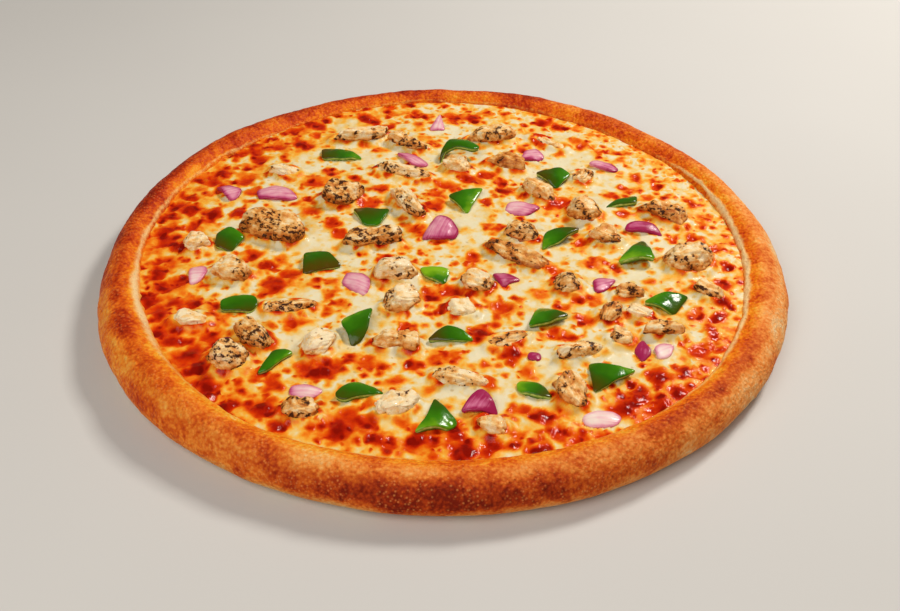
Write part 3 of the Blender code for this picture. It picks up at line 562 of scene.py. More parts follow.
def new_piece(name, verts, faces, look, attributes=None, node=None):
    """Adds a smooth mesh that rides on the pizza. attributes holds one number or vector for each vertex."""
    mesh = bpy.data.meshes.new(name)
    mesh.from_pydata(verts, [], faces)
    mesh.validate()
    for label, values in (attributes or {}).items():
        flat = np.asarray(values, dtype=np.float32)
        kind, field = ("FLOAT_VECTOR", "vector") if flat.ndim == 2 else ("FLOAT", "value")
        mesh.attributes.new(label, kind, "POINT").data.foreach_set(field, flat.ravel())
    mesh.materials.append(look)
    mesh.shade_smooth()
    piece = put_in_scene(name, mesh)
    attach(piece, BODY)
    if node:
        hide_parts(node)


# Crust

TURN_COUNT = 960
PROFILE_STEP = 0.8 * MM
CREST_RADIUS = LIP_RADIUS + 7.8 * MM
# Rings in mm that close the crust, on the bread under the filling and on the underside
BREAD_RINGS = (40, 90, 125)
UNDER_RINGS = range(139, 8, -9)


def crust_profile():
    """Half of the rim's section, from the floor just inside the lip over the rim to the underside."""
    r, h = PIZZA_RADIUS, RIM_HEIGHT
    return [
        (FLOOR_RADIUS - 1 * MM, BASE_THICKNESS),
        (FLOOR_RADIUS, BASE_THICKNESS + 0.4 * MM),
        (LIP_RADIUS - 1.4 * MM, 12 * MM),
        (LIP_RADIUS, LIP_HEIGHT),
        (LIP_RADIUS + 2 * MM, h - 2.2 * MM),
        (LIP_RADIUS + 4.6 * MM, h - 0.6 * MM),
        (CREST_RADIUS, h),
        (r - 5.8 * MM, h - 1.2 * MM),
        (r - 2.8 * MM, h - 3.8 * MM),
        (r - 0.8 * MM, h - 7.2 * MM),
        (r, h - 10.8 * MM),
        (r - 1.1 * MM, 4.6 * MM),
        (r - 3.6 * MM, 1.6 * MM),
        (r - 7 * MM, 0),
        (r - 9 * MM, 0),
    ]


def fine_line(points, step):
    """A smooth curve through the points, cut into short even steps."""
    points = [Vector(point) for point in points]
    padded = [points[0] * 2 - points[1], *points, points[-1] * 2 - points[-2]]
    line = []
    for before, start, end, after in zip(padded, padded[1:], padded[2:], padded[3:]):
        parts = max(1, round((end - start).length / step))
        for part in range(parts):
            t = part / parts
            twice = 2 * start + (end - before) * t
            twice += (2 * before - 5 * start + 4 * end - after) * t * t
            twice += (3 * start - before - 3 * end + after) * t * t * t
            line.append(0.5 * twice)
    line.append(points[-1])
    return line


def outline_shift(radius, angle):
    lip = wave(LIP_WAVES, angle)
    if radius <= LIP_RADIUS:
        return lip * radius / LIP_RADIUS
    share = (radius - LIP_RADIUS) / RIM_WIDTH
    return lip + (wave(OUTER_WAVES, angle) - lip) * share


# How brown the rim is round the pizza: the angle in degrees, the outer face, the crest and the inner
# slope, then how dry the outside is, the share of pale specks, and how pale and how wide in mm the line
# at the lip is
CRUST_TONES = (
    (-180, 0.84, 0.78, 0.66, 0.7, 0.9, 0.75, 2.6),
    (-160, 0.38, 0.78, 0.36, 0.3, 0.7, 0.95, 4.0),
    (-140, 0.42, 0.68, 0.36, 0.4, 0.8, 0.60, 3.0),
    (-120, 0.50, 0.60, 0.42, 0.7, 1.0, 0.40, 1.8),
    (-100, 0.74, 0.36, 0.42, 0.9, 1.0, 0.60, 2.0),
    (-80, 0.76, 0.50, 0.58, 1.0, 1.0, 0.45, 1.6),
    (-60, 0.52, 0.60, 0.50, 1.0, 1.0, 0.50, 1.6),
    (-40, 0.24, 0.70, 0.40, 1.0, 0.8, 0.70, 2.0),
    (-20, 0.22, 0.54, 0.58, 1.0, 0.6, 0.90, 2.4),
    (0, 0.16, 0.40, 0.54, 1.0, 0.5, 0.95, 2.5),
    (20, 0.26, 0.48, 0.54, 1.0, 0.5, 0.95, 2.3),
    (40, 0.44, 0.58, 0.66, 1.0, 0.5, 0.40, 1.3),
    (60, 0.56, 0.66, 0.66, 0.9, 0.6, 0.40, 1.3),
    (80, 0.68, 0.70, 0.58, 0.8, 0.6, 0.50, 1.4),
    (100, 0.72, 0.76, 0.60, 0.7, 0.6, 0.50, 1.4),
    (120, 0.72, 0.76, 0.56, 0.6, 0.6, 0.40, 1.5),
    (140, 0.66, 0.60, 0.54, 0.5, 0.8, 0.60, 1.4),
    (160, 0.86, 0.84, 0.54, 0.5, 0.9, 0.60, 1.8),
    (180, 0.84, 0.78, 0.66, 0.7, 0.9, 0.75, 2.6),
)


def crust_tone(angle):
    """The row of tones at this angle, between two rows of the table."""
    degrees = math.degrees(angle)
    here, there = next(pair for pair in zip(CRUST_TONES, CRUST_TONES[1:]) if degrees <= pair[1][0])
    share = smooth(here[0], there[0], degrees)
    return [a + (b - a) * share for a, b in zip(here[1:], there[1:])]


def lip_line(angle, radius, place):
    """How much of the pale line at the lip there is here. Its middle and width wander."""
    *_, pale, width = crust_tone(angle)
    middle = LIP_RADIUS + (0.2 + width * 0.35) * MM + rough(place, 14, 2) * 0.7 * MM
    half = width * MM * (0.55 + 0.35 * rough(place, 9, 2))
    return pale * math.exp(-(((radius - middle) / max(half, 0.3 * MM)) ** 2))


def crust_relief(place, angle, radius, height):
    """How far the bread's surface puffs out, in metres."""
    foot = smooth(1 * MM, 7 * MM, height)
    outer = smooth(LIP_RADIUS - 1 * MM, LIP_RADIUS + 3 * MM, radius)
    lumps = rough(place, 26) * 0.8 + rough(place, 9, 2) * 0.35
    fine = rough(place, 3.2, 2) * 0.14 + rough(place, 1.5) * 0.06
    lip = (1 - outer) * rough(place, 6, 2) * 0.5
    ridge = lip_line(angle, radius, place) * 0.5 if height > 10 * MM else 0
    return (lumps * foot * outer + fine * max(foot, 0.3) + lip * foot + ridge) * MM


def crust_colours(angle, radius, height, place):
    """bake, oil, cream and specks at a point of the crust."""
    outer, crest, slope, dry, speckled, *_ = crust_tone(angle)
    if height <= 0:
        return 0.45 + rough(place, 14, 3) * 0.3, 0, 0, 0.3
    to_crest = smooth(LIP_RADIUS + 2 * MM, CREST_RADIUS, radius)
    past_crest = smooth(CREST_RADIUS + 1 * MM, PIZZA_RADIUS - 3 * MM, radius)
    bake = slope + (crest - slope) * to_crest + (outer - crest) * past_crest
    if radius > CREST_RADIUS:
        low = 0.12 + 0.24 * smooth(2 * MM, 6 * MM, height)
        band = smooth(5 * MM, 10.5 * MM, height + rough(place, 9, 2) * 1.5 * MM)
        bake = min(bake, low + (bake - low) * band)
        bake += 0.1 * band * smooth(17 * MM, 13 * MM, height) * smooth(4 * MM, 9 * MM, height)
    bake += rough(place, 24, 2) * 0.22 + rough(place, 8, 2) * 0.15
    oil = 1 - dry * smooth(LIP_RADIUS + 3 * MM, CREST_RADIUS + 1 * MM, radius)
    cream = lip_line(angle, radius, place)
    specks = speckled * smooth(0, 6 * MM, height) * smooth(-0.5, 0.15, rough(place, 9, 2))
    return bake, oil, cream, specks * smooth(LIP_RADIUS + 2 * MM, LIP_RADIUS + 6 * MM, radius)


def make_crust():
    line = fine_line(crust_profile(), PROFILE_STEP)
    inner = [Vector((radius * MM, BASE_THICKNESS)) for radius in BREAD_RINGS]
    under = [Vector((radius * MM, 0)) for radius in UNDER_RINGS]
    rings = inner + line + under
    verts = []
    tones = []
    for index, (radius, height) in enumerate(rings):
        before = rings[max(0, index - 1)]
        after = rings[min(len(rings) - 1, index + 1)]
        run = (after - before).normalized()
        for step in range(TURN_COUNT):
            angle = math.tau * step / TURN_COUNT - math.pi
            rise = 0
            if radius > LIP_RADIUS - 1.5 * MM and height > 0:
                rise = wave(CREST_WAVES, angle) * min(1, height / RIM_HEIGHT) ** 2
            place = at(radius, angle, height)
            puff = crust_relief(place, angle, radius, height) if height > 0 else 0
            out = radius + outline_shift(radius, angle) - run.y * puff
            up = height + rise + run.x * puff
            verts.append(at(out, angle, max(0, up)))
            tones.append(crust_colours(angle, radius, height, place))
    faces = ring_faces(len(rings), TURN_COUNT)
    faces.append(tuple(range(TURN_COUNT)))
    last = (len(rings) - 1) * TURN_COUNT
    faces.append(tuple(last + step for step in reversed(range(TURN_COUNT))))
    return verts, faces, dict(zip(("bake", "oil", "cream", "specks"), zip(*tones)))


def ring_faces(rings, count):
    """Squares between closed rings of count points each, one ring after another."""
    faces = []
    for ring in range(rings - 1):
        here, there = ring * count, (ring + 1) * count
        for step in range(count):
            following = (step + 1) % count
            faces.append((here + step, there + step, there + following, here + following))
    return faces


# Toppings

CHUNK_BLUNTNESS = 2.5
CHUNK_FLAT = 0.45
CHUNK_LUMPS = ((1.5, 0.17), (3.4, 0.09))
BEND_MIDDLE = 0.4
PINCH_REACH = 0.28
PINCH_IN_HEIGHT = 0.6
CUT_COUNT = 6
CUT_DEPTH = (0.68, 0.92)
CUT_TILT = (-0.1, 0.7)
CUT_JITTER = 0.3
CUT_FLATNESS = 0.88
TOP_DEPTH = (0.62, 0.85)
TOP_TILT = 0.35
LUMP_SPREAD = 50
# How deep in mm the meat is creased between its strands
CREASE_DEPTH = 0.7
# How often the knife's edges are rounded off
CUT_EASING = 7


def drawn_form(piece):
    """The knife's flat strokes, each as the way it faces and how far out it lies, and the lumps' place."""
    draw = random.Random(piece.name)
    cuts = []
    for number in range(CUT_COUNT):
        around = math.tau * (number + draw.uniform(-CUT_JITTER, CUT_JITTER)) / CUT_COUNT
        way = Vector((math.cos(around), math.sin(around), draw.uniform(*CUT_TILT)))
        cuts.append((way.normalized(), draw.uniform(*CUT_DEPTH)))
    around = draw.uniform(0, math.tau)
    top = Vector((TOP_TILT * math.cos(around), TOP_TILT * math.sin(around), 1)).normalized()
    cuts.append((top, draw.uniform(*TOP_DEPTH)))
    return cuts, Vector([draw.uniform(0, LUMP_SPREAD) for _ in range(3)])


def chunk_point(way, piece, cuts, lump_place):
    """Where the chunk's surface lies in the direction way, from its middle, in mm."""
    reach = sum(abs(part) ** CHUNK_BLUNTNESS for part in way) ** (-1 / CHUNK_BLUNTNESS)
    lumps = 1 + sum(size * noise.noise(way * count + lump_place) for count, size in CHUNK_LUMPS)
    unit = way * reach * lumps
    for facing, depth in cuts:
        over = unit.dot(facing) - depth
        if over > 0:
            unit -= facing * over * CUT_FLATNESS
    pinch = piece.neck * math.exp(-((unit.x / PINCH_REACH) ** 2))
    above = piece.height / (1 + CHUNK_FLAT)
    x = unit.x * piece.length / 2
    y = unit.y * piece.width / 2 * (1 - pinch) + piece.bend * (unit.x**2 - BEND_MIDDLE)
    z = unit.z * above * (1 - pinch * PINCH_IN_HEIGHT)
    return Vector((x, y, max(z, -CHUNK_FLAT * above)))


def make_chunk(piece):
    """A chunk with torn fibres along it. char is 1 where the grill blackened it; tan is its browning plus
    painted shade below.
    """
    bm = bmesh.new()
    bmesh.ops.create_icosphere(bm, subdivisions=5, radius=1)
    cuts, lump_place = drawn_form(piece)
    ways = [vertex.co.normalized() for vertex in bm.verts]
    for vertex, way in zip(bm.verts, ways):
        vertex.co = chunk_point(way, piece, cuts, lump_place)
    for _ in range(CUT_EASING):
        axes = {"use_axis_x": True, "use_axis_y": True, "use_axis_z": True}
        bmesh.ops.smooth_vert(bm, verts=bm.verts, factor=0.5, **axes)
    points = []
    tones = []
    for vertex, way in zip(bm.verts, ways):
        point = vertex.co.copy()
        along = Vector((point.x / 8, point.y / 1.6, point.z / 1.6))
        fibre = noise.noise(along + lump_place) * 0.4
        torn = noise.noise(point / 1.6 + lump_place) * 0.3 + noise.noise(point / 3.2 + lump_place) * 0.65
        strand = Vector((point.x / 9, point.y / 3.4, point.z / 3.4)) + lump_place * 2
        crease = smooth(0.13, 0, abs(noise.noise(strand))) * CREASE_DEPTH
        points.append((point + way * (fibre + torn - crease)) * MM)
        away = point + lump_place
        grain = Vector((away.x / 6, away.y, away.z)) * MM
        flecks = Vector((away.x / 1.2, away.y, away.z)) * MM
        patch = 0.5 + 1.2 * noise.noise(point / 6 + lump_place * 3) + 0.3 * (abs(way.x) ** 3 - 0.3)
        start = 1 - piece.char
        # low picks out the downward-facing sides, which tan makes browner: painted shade
        low = 1 - smooth(-0.4, 0.5, way.z)
        char = smooth(start - 0.25, start + 0.3, patch)
        tones.append((grain, flecks, char, piece.tan * 0.7 + low * 0.7))
    faces = [[vertex.index for vertex in face.verts] for face in bm.faces]
    bm.free()
    turn = Matrix.Rotation(math.radians(piece.heading), 4, "Z")
    attributes = dict(zip(("grain", "flecks", "char", "tan"), zip(*tones)))
    return [turn @ point for point in points], faces, attributes


PETAL_CELL = 0.9 * MM
PETAL_CORNER = 1.2 * MM
SLACKER = 2.5
EDGE_WIDTH = 2.2 * MM
# Rows down a petal's cut side: how far down the wall, and how far in from the edge
SIDE_ROWS = ((0.0, 0.35 * MM), (0.08, 0.1 * MM), (0.3, 0), (0.7, 0), (0.92, 0.1 * MM), (1.0, 0.35 * MM))


def neighbours(ring):
    """Each item of a ring with the one before it and the one after it."""
    return zip(ring[-1:] + ring[:-1], ring, ring[1:] + ring[:1])


def sides(ring):
    return zip(ring, ring[1:] + ring[:1])


def rounded(corners, cut, cell):
    """The outline in metres with each corner cut back a little and long sides divided."""
    corners = [Vector(corner) * MM for corner in corners]
    points = []
    for before, here, after in neighbours(corners):
        start = here + (before - here).normalized() * cut
        end = here + (after - here).normalized() * cut
        following = after + (here - after).normalized() * cut
        points += [start, end]
        parts = max(1, round((following - end).length / cell))
        points += [end.lerp(following, part / parts) for part in range(1, parts)]
    return points


def eased(points):
    """The outline with its corners rounded off, by cutting each corner twice."""
    for _ in range(2):
        points = [p.lerp(q, share) for p, q in sides(points) for share in (0.25, 0.75)]
    return points


def flat_triangles(corners, cell):
    """Triangles that fill a flat outline, with inner points on a lattice of this spacing."""
    low = Vector((min(c.x for c in corners), min(c.y for c in corners)))
    high = Vector((max(c.x for c in corners), max(c.y for c in corners)))
    points = list(corners)
    row_step = cell * math.sqrt(3) / 2
    for row in range(int((high.y - low.y) / row_step) + 1):
        start = low.x + (cell / 2 if row % 2 else 0)
        for column in range(int((high.x - start) / cell) + 1):
            point = Vector((start + column * cell, low.y + row * row_step))
            if is_inside(point, corners) and edge_distance(point, corners) > cell * 0.6:
                points.append(point)
    edges = list(sides(list(range(len(corners)))))
    verts, _, faces, *_ = delaunay_2d_cdt(points, edges, [], 1, 1e-7)
    return verts, faces


def is_inside(point, corners):
    inside = False
    for first, second in sides(corners):
        if (first.y > point.y) != (second.y > point.y):
            crossing = first.x + (point.y - first.y) * (second.x - first.x) / (second.y - first.y)
            if point.x < crossing:
                inside = not inside
    return inside


def edge_distance(point, corners):
    nearest = math.inf
    for first, second in sides(corners):
        along = second - first
        share = min(1, max(0, (point - first).dot(along) / along.length_squared))
        nearest = min(nearest, (first + along * share - point).length)
    return nearest


def petal_point(point, piece):
    """The flat point laid on a cylinder of the curl's radius, whose axis lies curl_way."""
    turn = Matrix.Rotation(math.radians(piece.curl_way), 2)
    along, across = turn.transposed() @ point
    radius = piece.curl * MM
    bent = Vector((along, radius * math.sin(across / radius)))
    sag = radius * (1 - math.cos(across / radius)) + along**2 / (2 * SLACKER * radius)
    flat = turn @ bent
    return Vector((flat.x, flat.y, -sag))


def wavy_point(point, piece):
    seed = Vector((piece.x, piece.y, 0)) / 11
    base = petal_point(point, piece)
    flat = point.to_3d()
    ripple = noise.noise(flat / (5 * MM) + seed) * 0.5 + noise.noise(flat / (2 * MM) + seed) * 0.1
    return base + Vector((0, 0, ripple * MM))


def petal_normal(point, piece):
    step = 0.2 * MM
    here = wavy_point(point, piece)
    along = wavy_point(point + Vector((step, 0)), piece) - here
    across = wavy_point(point + Vector((0, step)), piece) - here
    return along.cross(across).normalized()


def make_petal(piece, wall, tone, slope):
    """A curved plate with rounded cut sides. depth runs from 0 on its upper face to 1 underneath, and
    the tone changes by slope across it, a drawn way."""
    outline = eased(rounded(piece.corners, PETAL_CORNER, PETAL_CELL * 2))
    inner = []
    for before, here, after in neighbours(outline):
        side = (after - before).normalized()
        inner.append(here + Vector((-side.y, side.x)) * SIDE_ROWS[0][1])
    flat, triangles = flat_triangles(inner, PETAL_CELL)
    count = len(inner)
    turn = Matrix.Rotation(math.radians(piece.curl_way), 2).transposed()
    around = random.Random(piece.name).uniform(0, math.tau)
    reach = max(point.length for point in outline)
    shade_way = Vector((math.cos(around), math.sin(around))) / reach
    verts = []
    tones = []

    def place(point, level):
        normal = petal_normal(point, piece)
        verts.append(wavy_point(point, piece) - normal * wall * level)
        along, across = turn @ point
        edge = 1 - smooth(0, EDGE_WIDTH, edge_distance(point, outline))
        shade = tone + slope * point.dot(shade_way)
        tones.append((level, (along / 12, across, wall * level), edge, shade))
        return len(verts) - 1

    top = [place(point, 0) for point in flat]
    bottom = [place(point, 1) for point in flat]
    rows = [top[:count]]
    for level, inset in SIDE_ROWS[1:-1]:
        share = inset / SIDE_ROWS[0][1]
        rows.append([place(edge.lerp(back, share), level) for edge, back in zip(outline, inner)])
    rows.append(bottom[:count])
    upward = sum((flat[b] - flat[a]).cross(flat[c] - flat[a]) for a, b, c in triangles) > 0
    order = (0, 1, 2) if upward else (2, 1, 0)
    faces = [tuple(top[face[index]] for index in order) for face in triangles]
    faces += [tuple(bottom[face[index]] for index in reversed(order)) for face in triangles]
    leftward = sum(p.cross(q) for p, q in sides(outline)) > 0
    for upper, lower in zip(rows, rows[1:]):
        for index in range(count):
            following = (index + 1) % count
            quad = (upper[index], lower[index], lower[following], upper[following])
            faces.append(quad if leftward else quad[::-1])
    way = math.radians(piece.lean_way)
    lean = Matrix.Rotation(math.radians(piece.lean), 4, Vector((-math.sin(way), math.cos(way), 0)))
    attributes = dict(zip(("depth", "grain", "edge", "tone"), zip(*tones)))
    return [lean @ vertex for vertex in verts], faces, attributes


def moved(verts, shift):
    return [vertex + shift for vertex in verts]


def middle_of(verts):
    low = Vector([min(v[axis] for v in verts) for axis in range(3)])
    high = Vector([max(v[axis] for v in verts) for axis in range(3)])
    return (low + high) / 2, high - low


# Cheese

EDGE_HEIGHT = CHEESE_FOOT + 3.5 * MM
EDGE_FALL = 6 * MM
LUMPS = ((22 * MM, 0.9 * MM), (9 * MM, 0.45 * MM))
CHEESE_GRID = 304
CHUNK_SUNK = 1.6 * MM
PETAL_SUNK = 1.0 * MM
# How far the cheese climbs a topping's side, and how quickly that dies away
CLIMB = {"chunks": (1.9 * MM, 1.9 * MM), "petals": (0.5 * MM, 1.2 * MM)}
# How far under a petal's upper face the cheese stays
UNDER_TOP = 0.9 * MM
# How brown the cheese is right beside a chunk: partly a stain of sauce and juice, partly painted contact
# shade
STAIN_AND_SHADE = 0.62
# How far in the cheese's foot stands, as a share of its radius
FOOT_SHARE = 0.988
# A height over everything, to look down from
ABOVE_ALL = 40 * MM


def cheese_reach(angle):
    """The cheese's outline, which climbs the foot of the lip by an uneven amount."""
    wall = FLOOR_RADIUS + outline_shift(FLOOR_RADIUS, angle)
    return wall + 2.5 * MM + 0.4 * MM * rough(at(wall, angle, 0), 8, 2)


def cheese_height(x, y):
    """The cheese's own level, as in the solids, but not pressed in and full up to the lip."""
    angle = math.atan2(y, x)
    inside = cheese_reach(angle) - math.hypot(x, y)
    share = min(1, max(0, inside / EDGE_FALL))
    share = share * (2 - share)
    lumps = sum(noise.noise(Vector((x, y, spacing)) / spacing) * size for spacing, size in LUMPS)
    return EDGE_HEIGHT + (CHEESE_LEVEL + lumps - EDGE_HEIGHT) * share


def cheese_tones(places):
    """bake, spotted and strings at each place. bake is 0 where it is cream, 0.4 orange, 1 dark red."""
    warped = []
    bake = []
    ragged = []
    strings = []
    for x, y in places:
        place = Vector((x, y, 0))
        shift = noise.noise_vector(place / (6 * MM)) * 2.6 * MM
        shift += noise.noise_vector(place / (2.6 * MM)) * 0.7 * MM
        warped.append((x + shift.x, y + shift.y))
        angle = math.atan2(y, x)
        margin = smooth(0.75, 0.98, math.hypot(x, y) / FLOOR_RADIUS)
        redder = 0.5 - 0.5 * math.cos(angle - 0.5)
        broad = rough(place + Vector((0, 0, 3 * MM)), 12, 2)
        bake.append(0.07 + 0.16 * broad + margin * (0.08 + 0.16 * redder))
        ragged.append(1 + 0.4 * rough(place, 5))
        strings.append(margin * (1 - redder) * smooth(-0.3, 0.3, rough(place, 14)))
    warped = np.array(warped)
    bake = np.array(bake)
    clean = np.zeros(len(bake))
    for x, y, radius in patches(CREAM):
        gap = np.hypot(warped[:, 0] - x, warped[:, 1] - y) / radius
        clean = np.maximum(clean, np.clip(1.3 - gap, 0, 0.75))
    bake = np.clip(bake, 0, 0.4) * (1 - clean)
    red = np.zeros(len(bake))
    for level, table in ((0.85, DEEP_RED), (0.66, RED), (0.46, ORANGE)):
        for x, y, radius in patches(table):
            gap = np.hypot(warped[:, 0] - x, warped[:, 1] - y) / (radius * np.array(ragged))
            share = np.clip((1.75 - gap) / 1.4, 0, 1)
            red = np.maximum(red, level * (share * share * (3 - 2 * share)))
    bake = np.maximum(bake, red + bake * (1 - red))
    spotted = (1 - clean) * (1 - 0.45 * red)
    return {"bake": bake, "spotted": spotted, "strings": np.array(strings)}


def blister_height(places):
    """How far the dark blisters swell at each place, from 0 to 1."""
    swell = np.zeros(len(places))
    x, y = np.array(places).T
    for middle_x, middle_y, radius in patches(DEEP_RED):
        gap = np.hypot(x - middle_x, y - middle_y) / radius
        swell = np.maximum(swell, np.clip(1 - gap**2, 0, 1))
    return swell


def disc_grid(count):
    """Places on the unit disc from a square grid: rings of squares opened into circles."""
    places = []
    for row in range(count + 1):
        for column in range(count + 1):
            a, b = 2 * column / count - 1, 2 * row / count - 1
            if a == 0 and b == 0:
                places.append((0, 0))
            elif abs(a) > abs(b):
                places.append((abs(a), math.pi / 4 * b / a + (math.pi if a < 0 else 0)))
            else:
                places.append((abs(b), math.pi / 2 - math.pi / 4 * a / b + (math.pi if b < 0 else 0)))
    return places


def flows_round(place, height, trees):
    """The height here once the cheese has climbed the toppings near by and kept under the petals, and how
    near the next chunk is, from 0 to 1."""
    touch = {"chunks": 0, "petals": 0}
    for kind, tree in trees.items():
        climb, reach = CLIMB[kind]
        near = tree.find_nearest(Vector((place.x, place.y, height)), 3 * reach)
        if near[0] is not None:
            touch[kind] = math.exp(-((near[3] / reach) ** 2))
            over = height - near[0].z
            dips = smooth(-0.5 * MM, 0.5 * MM, over) if kind == "petals" else 0
            height += touch[kind] * (climb * (1 - dips) - (max(0, over) + 0.3 * MM) * dips)
    hit = trees["petals"].ray_cast(Vector((place.x, place.y, ABOVE_ALL)), Vector((0, 0, -1)))[0]
    return min(height, hit.z - UNDER_TOP) if hit else height, touch["chunks"]


def make_cheese(trees):
    polar = disc_grid(CHEESE_GRID)
    places = [(r * cheese_reach(t) * math.cos(t), r * cheese_reach(t) * math.sin(t)) for r, t in polar]
    tones = cheese_tones(places)
    verts = []
    stain_and_shade = []
    for (x, y), brown, swell in zip(places, tones["bake"], blister_height(places)):
        place = Vector((x, y, 0))
        flows = abs(rough(place, 11, 2))
        height = cheese_height(x, y) + (0.5 - flows) * 0.6 * MM + rough(place, 3.5, 2) * 0.25 * MM
        height += (smooth(0.15, 0.35, brown) * 0.35 - smooth(0.35, 0.7, brown) * 0.8) * MM
        height += smooth(0.4, 0.7, brown) * rough(place, 2.4) * 0.4 * MM + swell * 1.1 * MM
        height, touch = flows_round(place, height, trees)
        verts.append(Vector((x, y, height)))
        stain_and_shade.append(touch * smooth(-0.25, 0.35, rough(place, 8)))
    # Browns the cheese in patches right beside the chunks: a sauce stain together with painted contact shade
    tones["bake"] = np.maximum(tones["bake"], np.array(stain_and_shade) * STAIN_AND_SHADE)
    side = CHEESE_GRID + 1
    faces = []
    for row in range(CHEESE_GRID):
        for column in range(CHEESE_GRID):
            first = row * side + column
            faces.append((first, first + 1, first + side + 1, first + side))
    ring = list(range(side))
    ring += [row * side + CHEESE_GRID for row in range(1, side)]
    ring += [CHEESE_GRID * side + column for column in reversed(range(CHEESE_GRID))]
    ring += [row * side for row in reversed(range(1, CHEESE_GRID))]
    start = len(verts)
    for index in ring:
        verts.append(Vector((verts[index].x * FOOT_SHARE, verts[index].y * FOOT_SHARE, CHEESE_FOOT)))
    for step in range(len(ring)):
        following = (step + 1) % len(ring)
        faces.append((ring[following], ring[step], start + step, start + following))
    faces.append(tuple(reversed(range(start, len(verts)))))
    attributes = {label: np.concatenate((values, values[ring])) for label, values in tones.items()}
    return verts, faces, attributes


def make_sauce():
    """A wet sheet on the bread, a little thicker where it meets the rim."""
    count = 360
    shares = [0.3, 0.6, 0.8, 0.88] + [0.92 + 0.008 * step for step in range(11)]
    verts = []
    for share in shares:
        for step in range(count):
            angle = math.tau * step / count
            radius = share * (FLOOR_RADIUS + outline_shift(FLOOR_RADIUS, angle) - 0.3 * MM)
            level = BASE_THICKNESS + GAP + SAUCE_THICKNESS + smooth(0.95, 1.0, share) * 0.6 * MM
            verts.append(at(radius, angle, level + rough(at(radius, angle, 0), 2.5) * 0.2 * MM))
    last = (len(shares) - 1) * count
    for rim in verts[last:]:
        verts.append(Vector((rim.x, rim.y, BASE_THICKNESS + GAP / 2)))
    faces = ring_faces(len(shares) + 1, count)
    faces.append(tuple(reversed(range(count))))
    faces.append(tuple(range(last + count, last + 2 * count)))
    return verts, [tuple(reversed(face)) for face in faces]


# Assembly

looks = {
    "bread": bread_look(),
    "cheese": cheese_look(),
    "sauce": sauce_look(),
    "chicken": chicken_look(),
    "pepper": pepper_look(),
    "onion": onion_look(),
}

verts, faces, tones = make_crust()
low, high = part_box("crust")
shift = (low + high) / 2 - middle_of(verts)[0]
shift.z = 0
new_piece("crust_bread", moved(verts, shift), faces, looks["bread"], tones, "crust")

verts, faces = make_sauce()
new_piece("tomato_sauce", moved(verts, shift), faces, looks["sauce"], {}, "sauce")


def numbered(kind, word, rows):
    """The rows of a table as pieces of this kind, named by their number."""
    return [kind(f"{word}_{number:02}", *row) for number, row in enumerate(rows, 1)]


def add_topping(piece, made, kind, sunk):
    """Puts a topping where its solid is, or into the cheese if it is one with the cheese there. Returns
    its mesh, for the cheese to flow round."""
    verts, faces, attributes = made
    middle, size = middle_of(verts)
    own_node = "scrap" not in piece.name
    if own_node:
        low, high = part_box(piece.name)
        goal = (low + high) / 2
        goal.z = low.z + size.z / 2
    else:
        bottom = cheese_height(piece.x * MM, piece.y * MM) - sunk
        goal = Vector((piece.x * MM, piece.y * MM, bottom + size.z / 2)) + shift
    verts = moved(verts, goal - middle)
    node = piece.name if own_node else None
    new_piece(f"{piece.name}_cut", verts, faces, looks[kind], attributes, node)
    return moved(verts, -shift), faces


def tree_of(meshes):
    verts = []
    faces = []
    for mesh_verts, mesh_faces in meshes:
        faces += [tuple(len(verts) + index for index in face) for face in mesh_faces]
        verts += mesh_verts
    return BVHTree.FromPolygons(verts, faces)


PEPPER_SLOPE = 0.52
ONION_SLOPE = 0.22
# The span of the drawn tones of the peppers
PEPPER_TONES = (0.42, 0.66)

chunks = []
petals = []
for piece in numbered(Chunk, "chicken", CHICKEN) + numbered(Chunk, "scrap", CHICKEN_BITS):
    chunks.append(add_topping(piece, make_chunk(piece), "chicken", CHUNK_SUNK))
for piece in numbered(Petal, "pepper", PEPPERS) + numbered(Petal, "pepper_scrap", PEPPER_BITS):
    tone = piece.tone or random.Random(piece.name).uniform(*PEPPER_TONES)
    made = make_petal(piece, PEPPER_WALL, tone, PEPPER_SLOPE)
    petals.append(add_topping(piece, made, "pepper", PETAL_SUNK))
for piece in numbered(Petal, "onion", ONIONS) + numbered(Petal, "onion_scrap", ONION_BITS):
    made = make_petal(piece, ONION_WALL, piece.tone, ONION_SLOPE)
    petals.append(add_topping(piece, made, "onion", PETAL_SUNK))

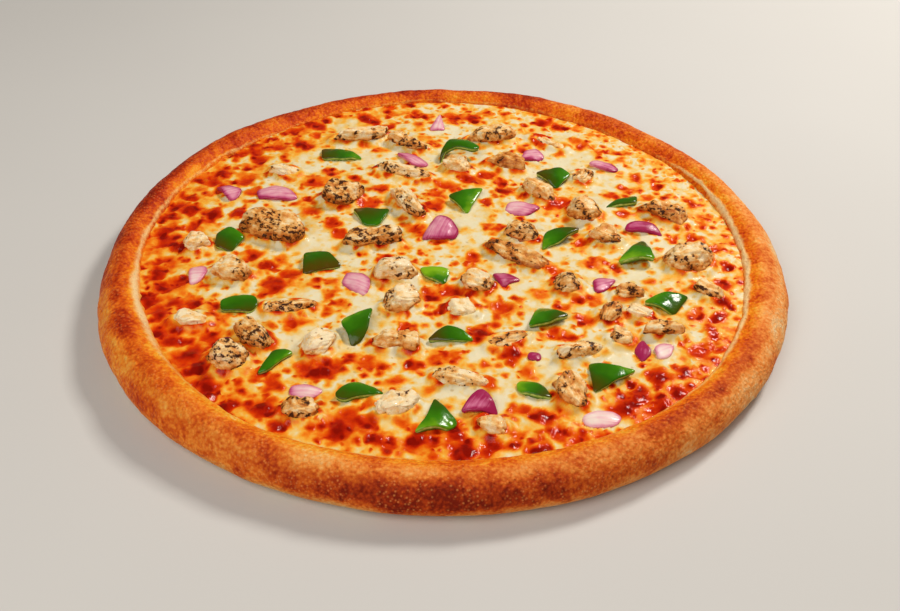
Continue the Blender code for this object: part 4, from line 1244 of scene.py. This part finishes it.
verts, faces, tones = make_cheese({"chunks": tree_of(chunks), "petals": tree_of(petals)})
new_piece("melted_cheese", moved(verts, shift), faces, looks["cheese"], tones, "cheese")

# Floor, light and camera

FLOOR_SIZE = 4
LENS = 43.4
SENSOR_WIDTH = 36
CAMERA_PLACE = Vector((0, -397.0, 296.7)) * MM
CAMERA_AIM = Vector((2.8, -36.7, 10.0)) * MM
CAMERA_ROLL = math.radians(0.78)


def make_floor():
    half = FLOOR_SIZE / 2
    corners = [(-half, -half, 0), (half, -half, 0), (half, half, 0), (-half, half, 0)]
    mesh = bpy.data.meshes.new("floor")
    mesh.from_pydata(corners, [], [(0, 1, 2, 3)])
    look = Look("pale_floor", Specular_IOR_Level=0.2)
    mesh.materials.append(look.wear(look.mix(look.noise(200), (0.60, 0.58, 0.55), (0.64, 0.62, 0.59)), 0.7))
    put_in_scene("floor", mesh)


def add_light(name, place, size, power, colour):
    """A soft square light that faces the pizza."""
    data = bpy.data.lights.new(name, "AREA")
    data.size = size
    data.energy = power
    data.color = colour
    light = put_in_scene(name, data)
    light.location = place
    light.rotation_euler = (-Vector(place)).to_track_quat("-Z", "Y").to_euler()


def add_world():
    world = bpy.data.worlds.new("studio")
    bpy.context.scene.world = world
    world.use_nodes = True
    sky = world.node_tree.nodes["Background"].inputs
    sky["Color"].default_value = (1.0, 0.94, 0.86, 1)
    sky["Strength"].default_value = 0.13


def add_camera():
    data = bpy.data.cameras.new("camera")
    data.lens = LENS
    data.sensor_width = SENSOR_WIDTH
    camera = put_in_scene("camera", data)
    camera.location = CAMERA_PLACE + shift
    look_way = (CAMERA_AIM - CAMERA_PLACE).to_track_quat("-Z", "Y").to_matrix().to_4x4()
    camera.rotation_euler = (look_way @ Matrix.Rotation(CAMERA_ROLL, 4, "Z")).to_euler()
    bpy.context.scene.camera = camera


make_floor()
add_world()
add_light("key", (0.54, 0.46, 0.75), 0.22, 8.2, (1.0, 0.96, 0.90))
add_light("fill", (-0.4, -0.7, 0.9), 0.9, 9.0, (1.0, 0.97, 0.93))
add_camera()
bpy.context.scene.view_settings.view_transform = "Standard"
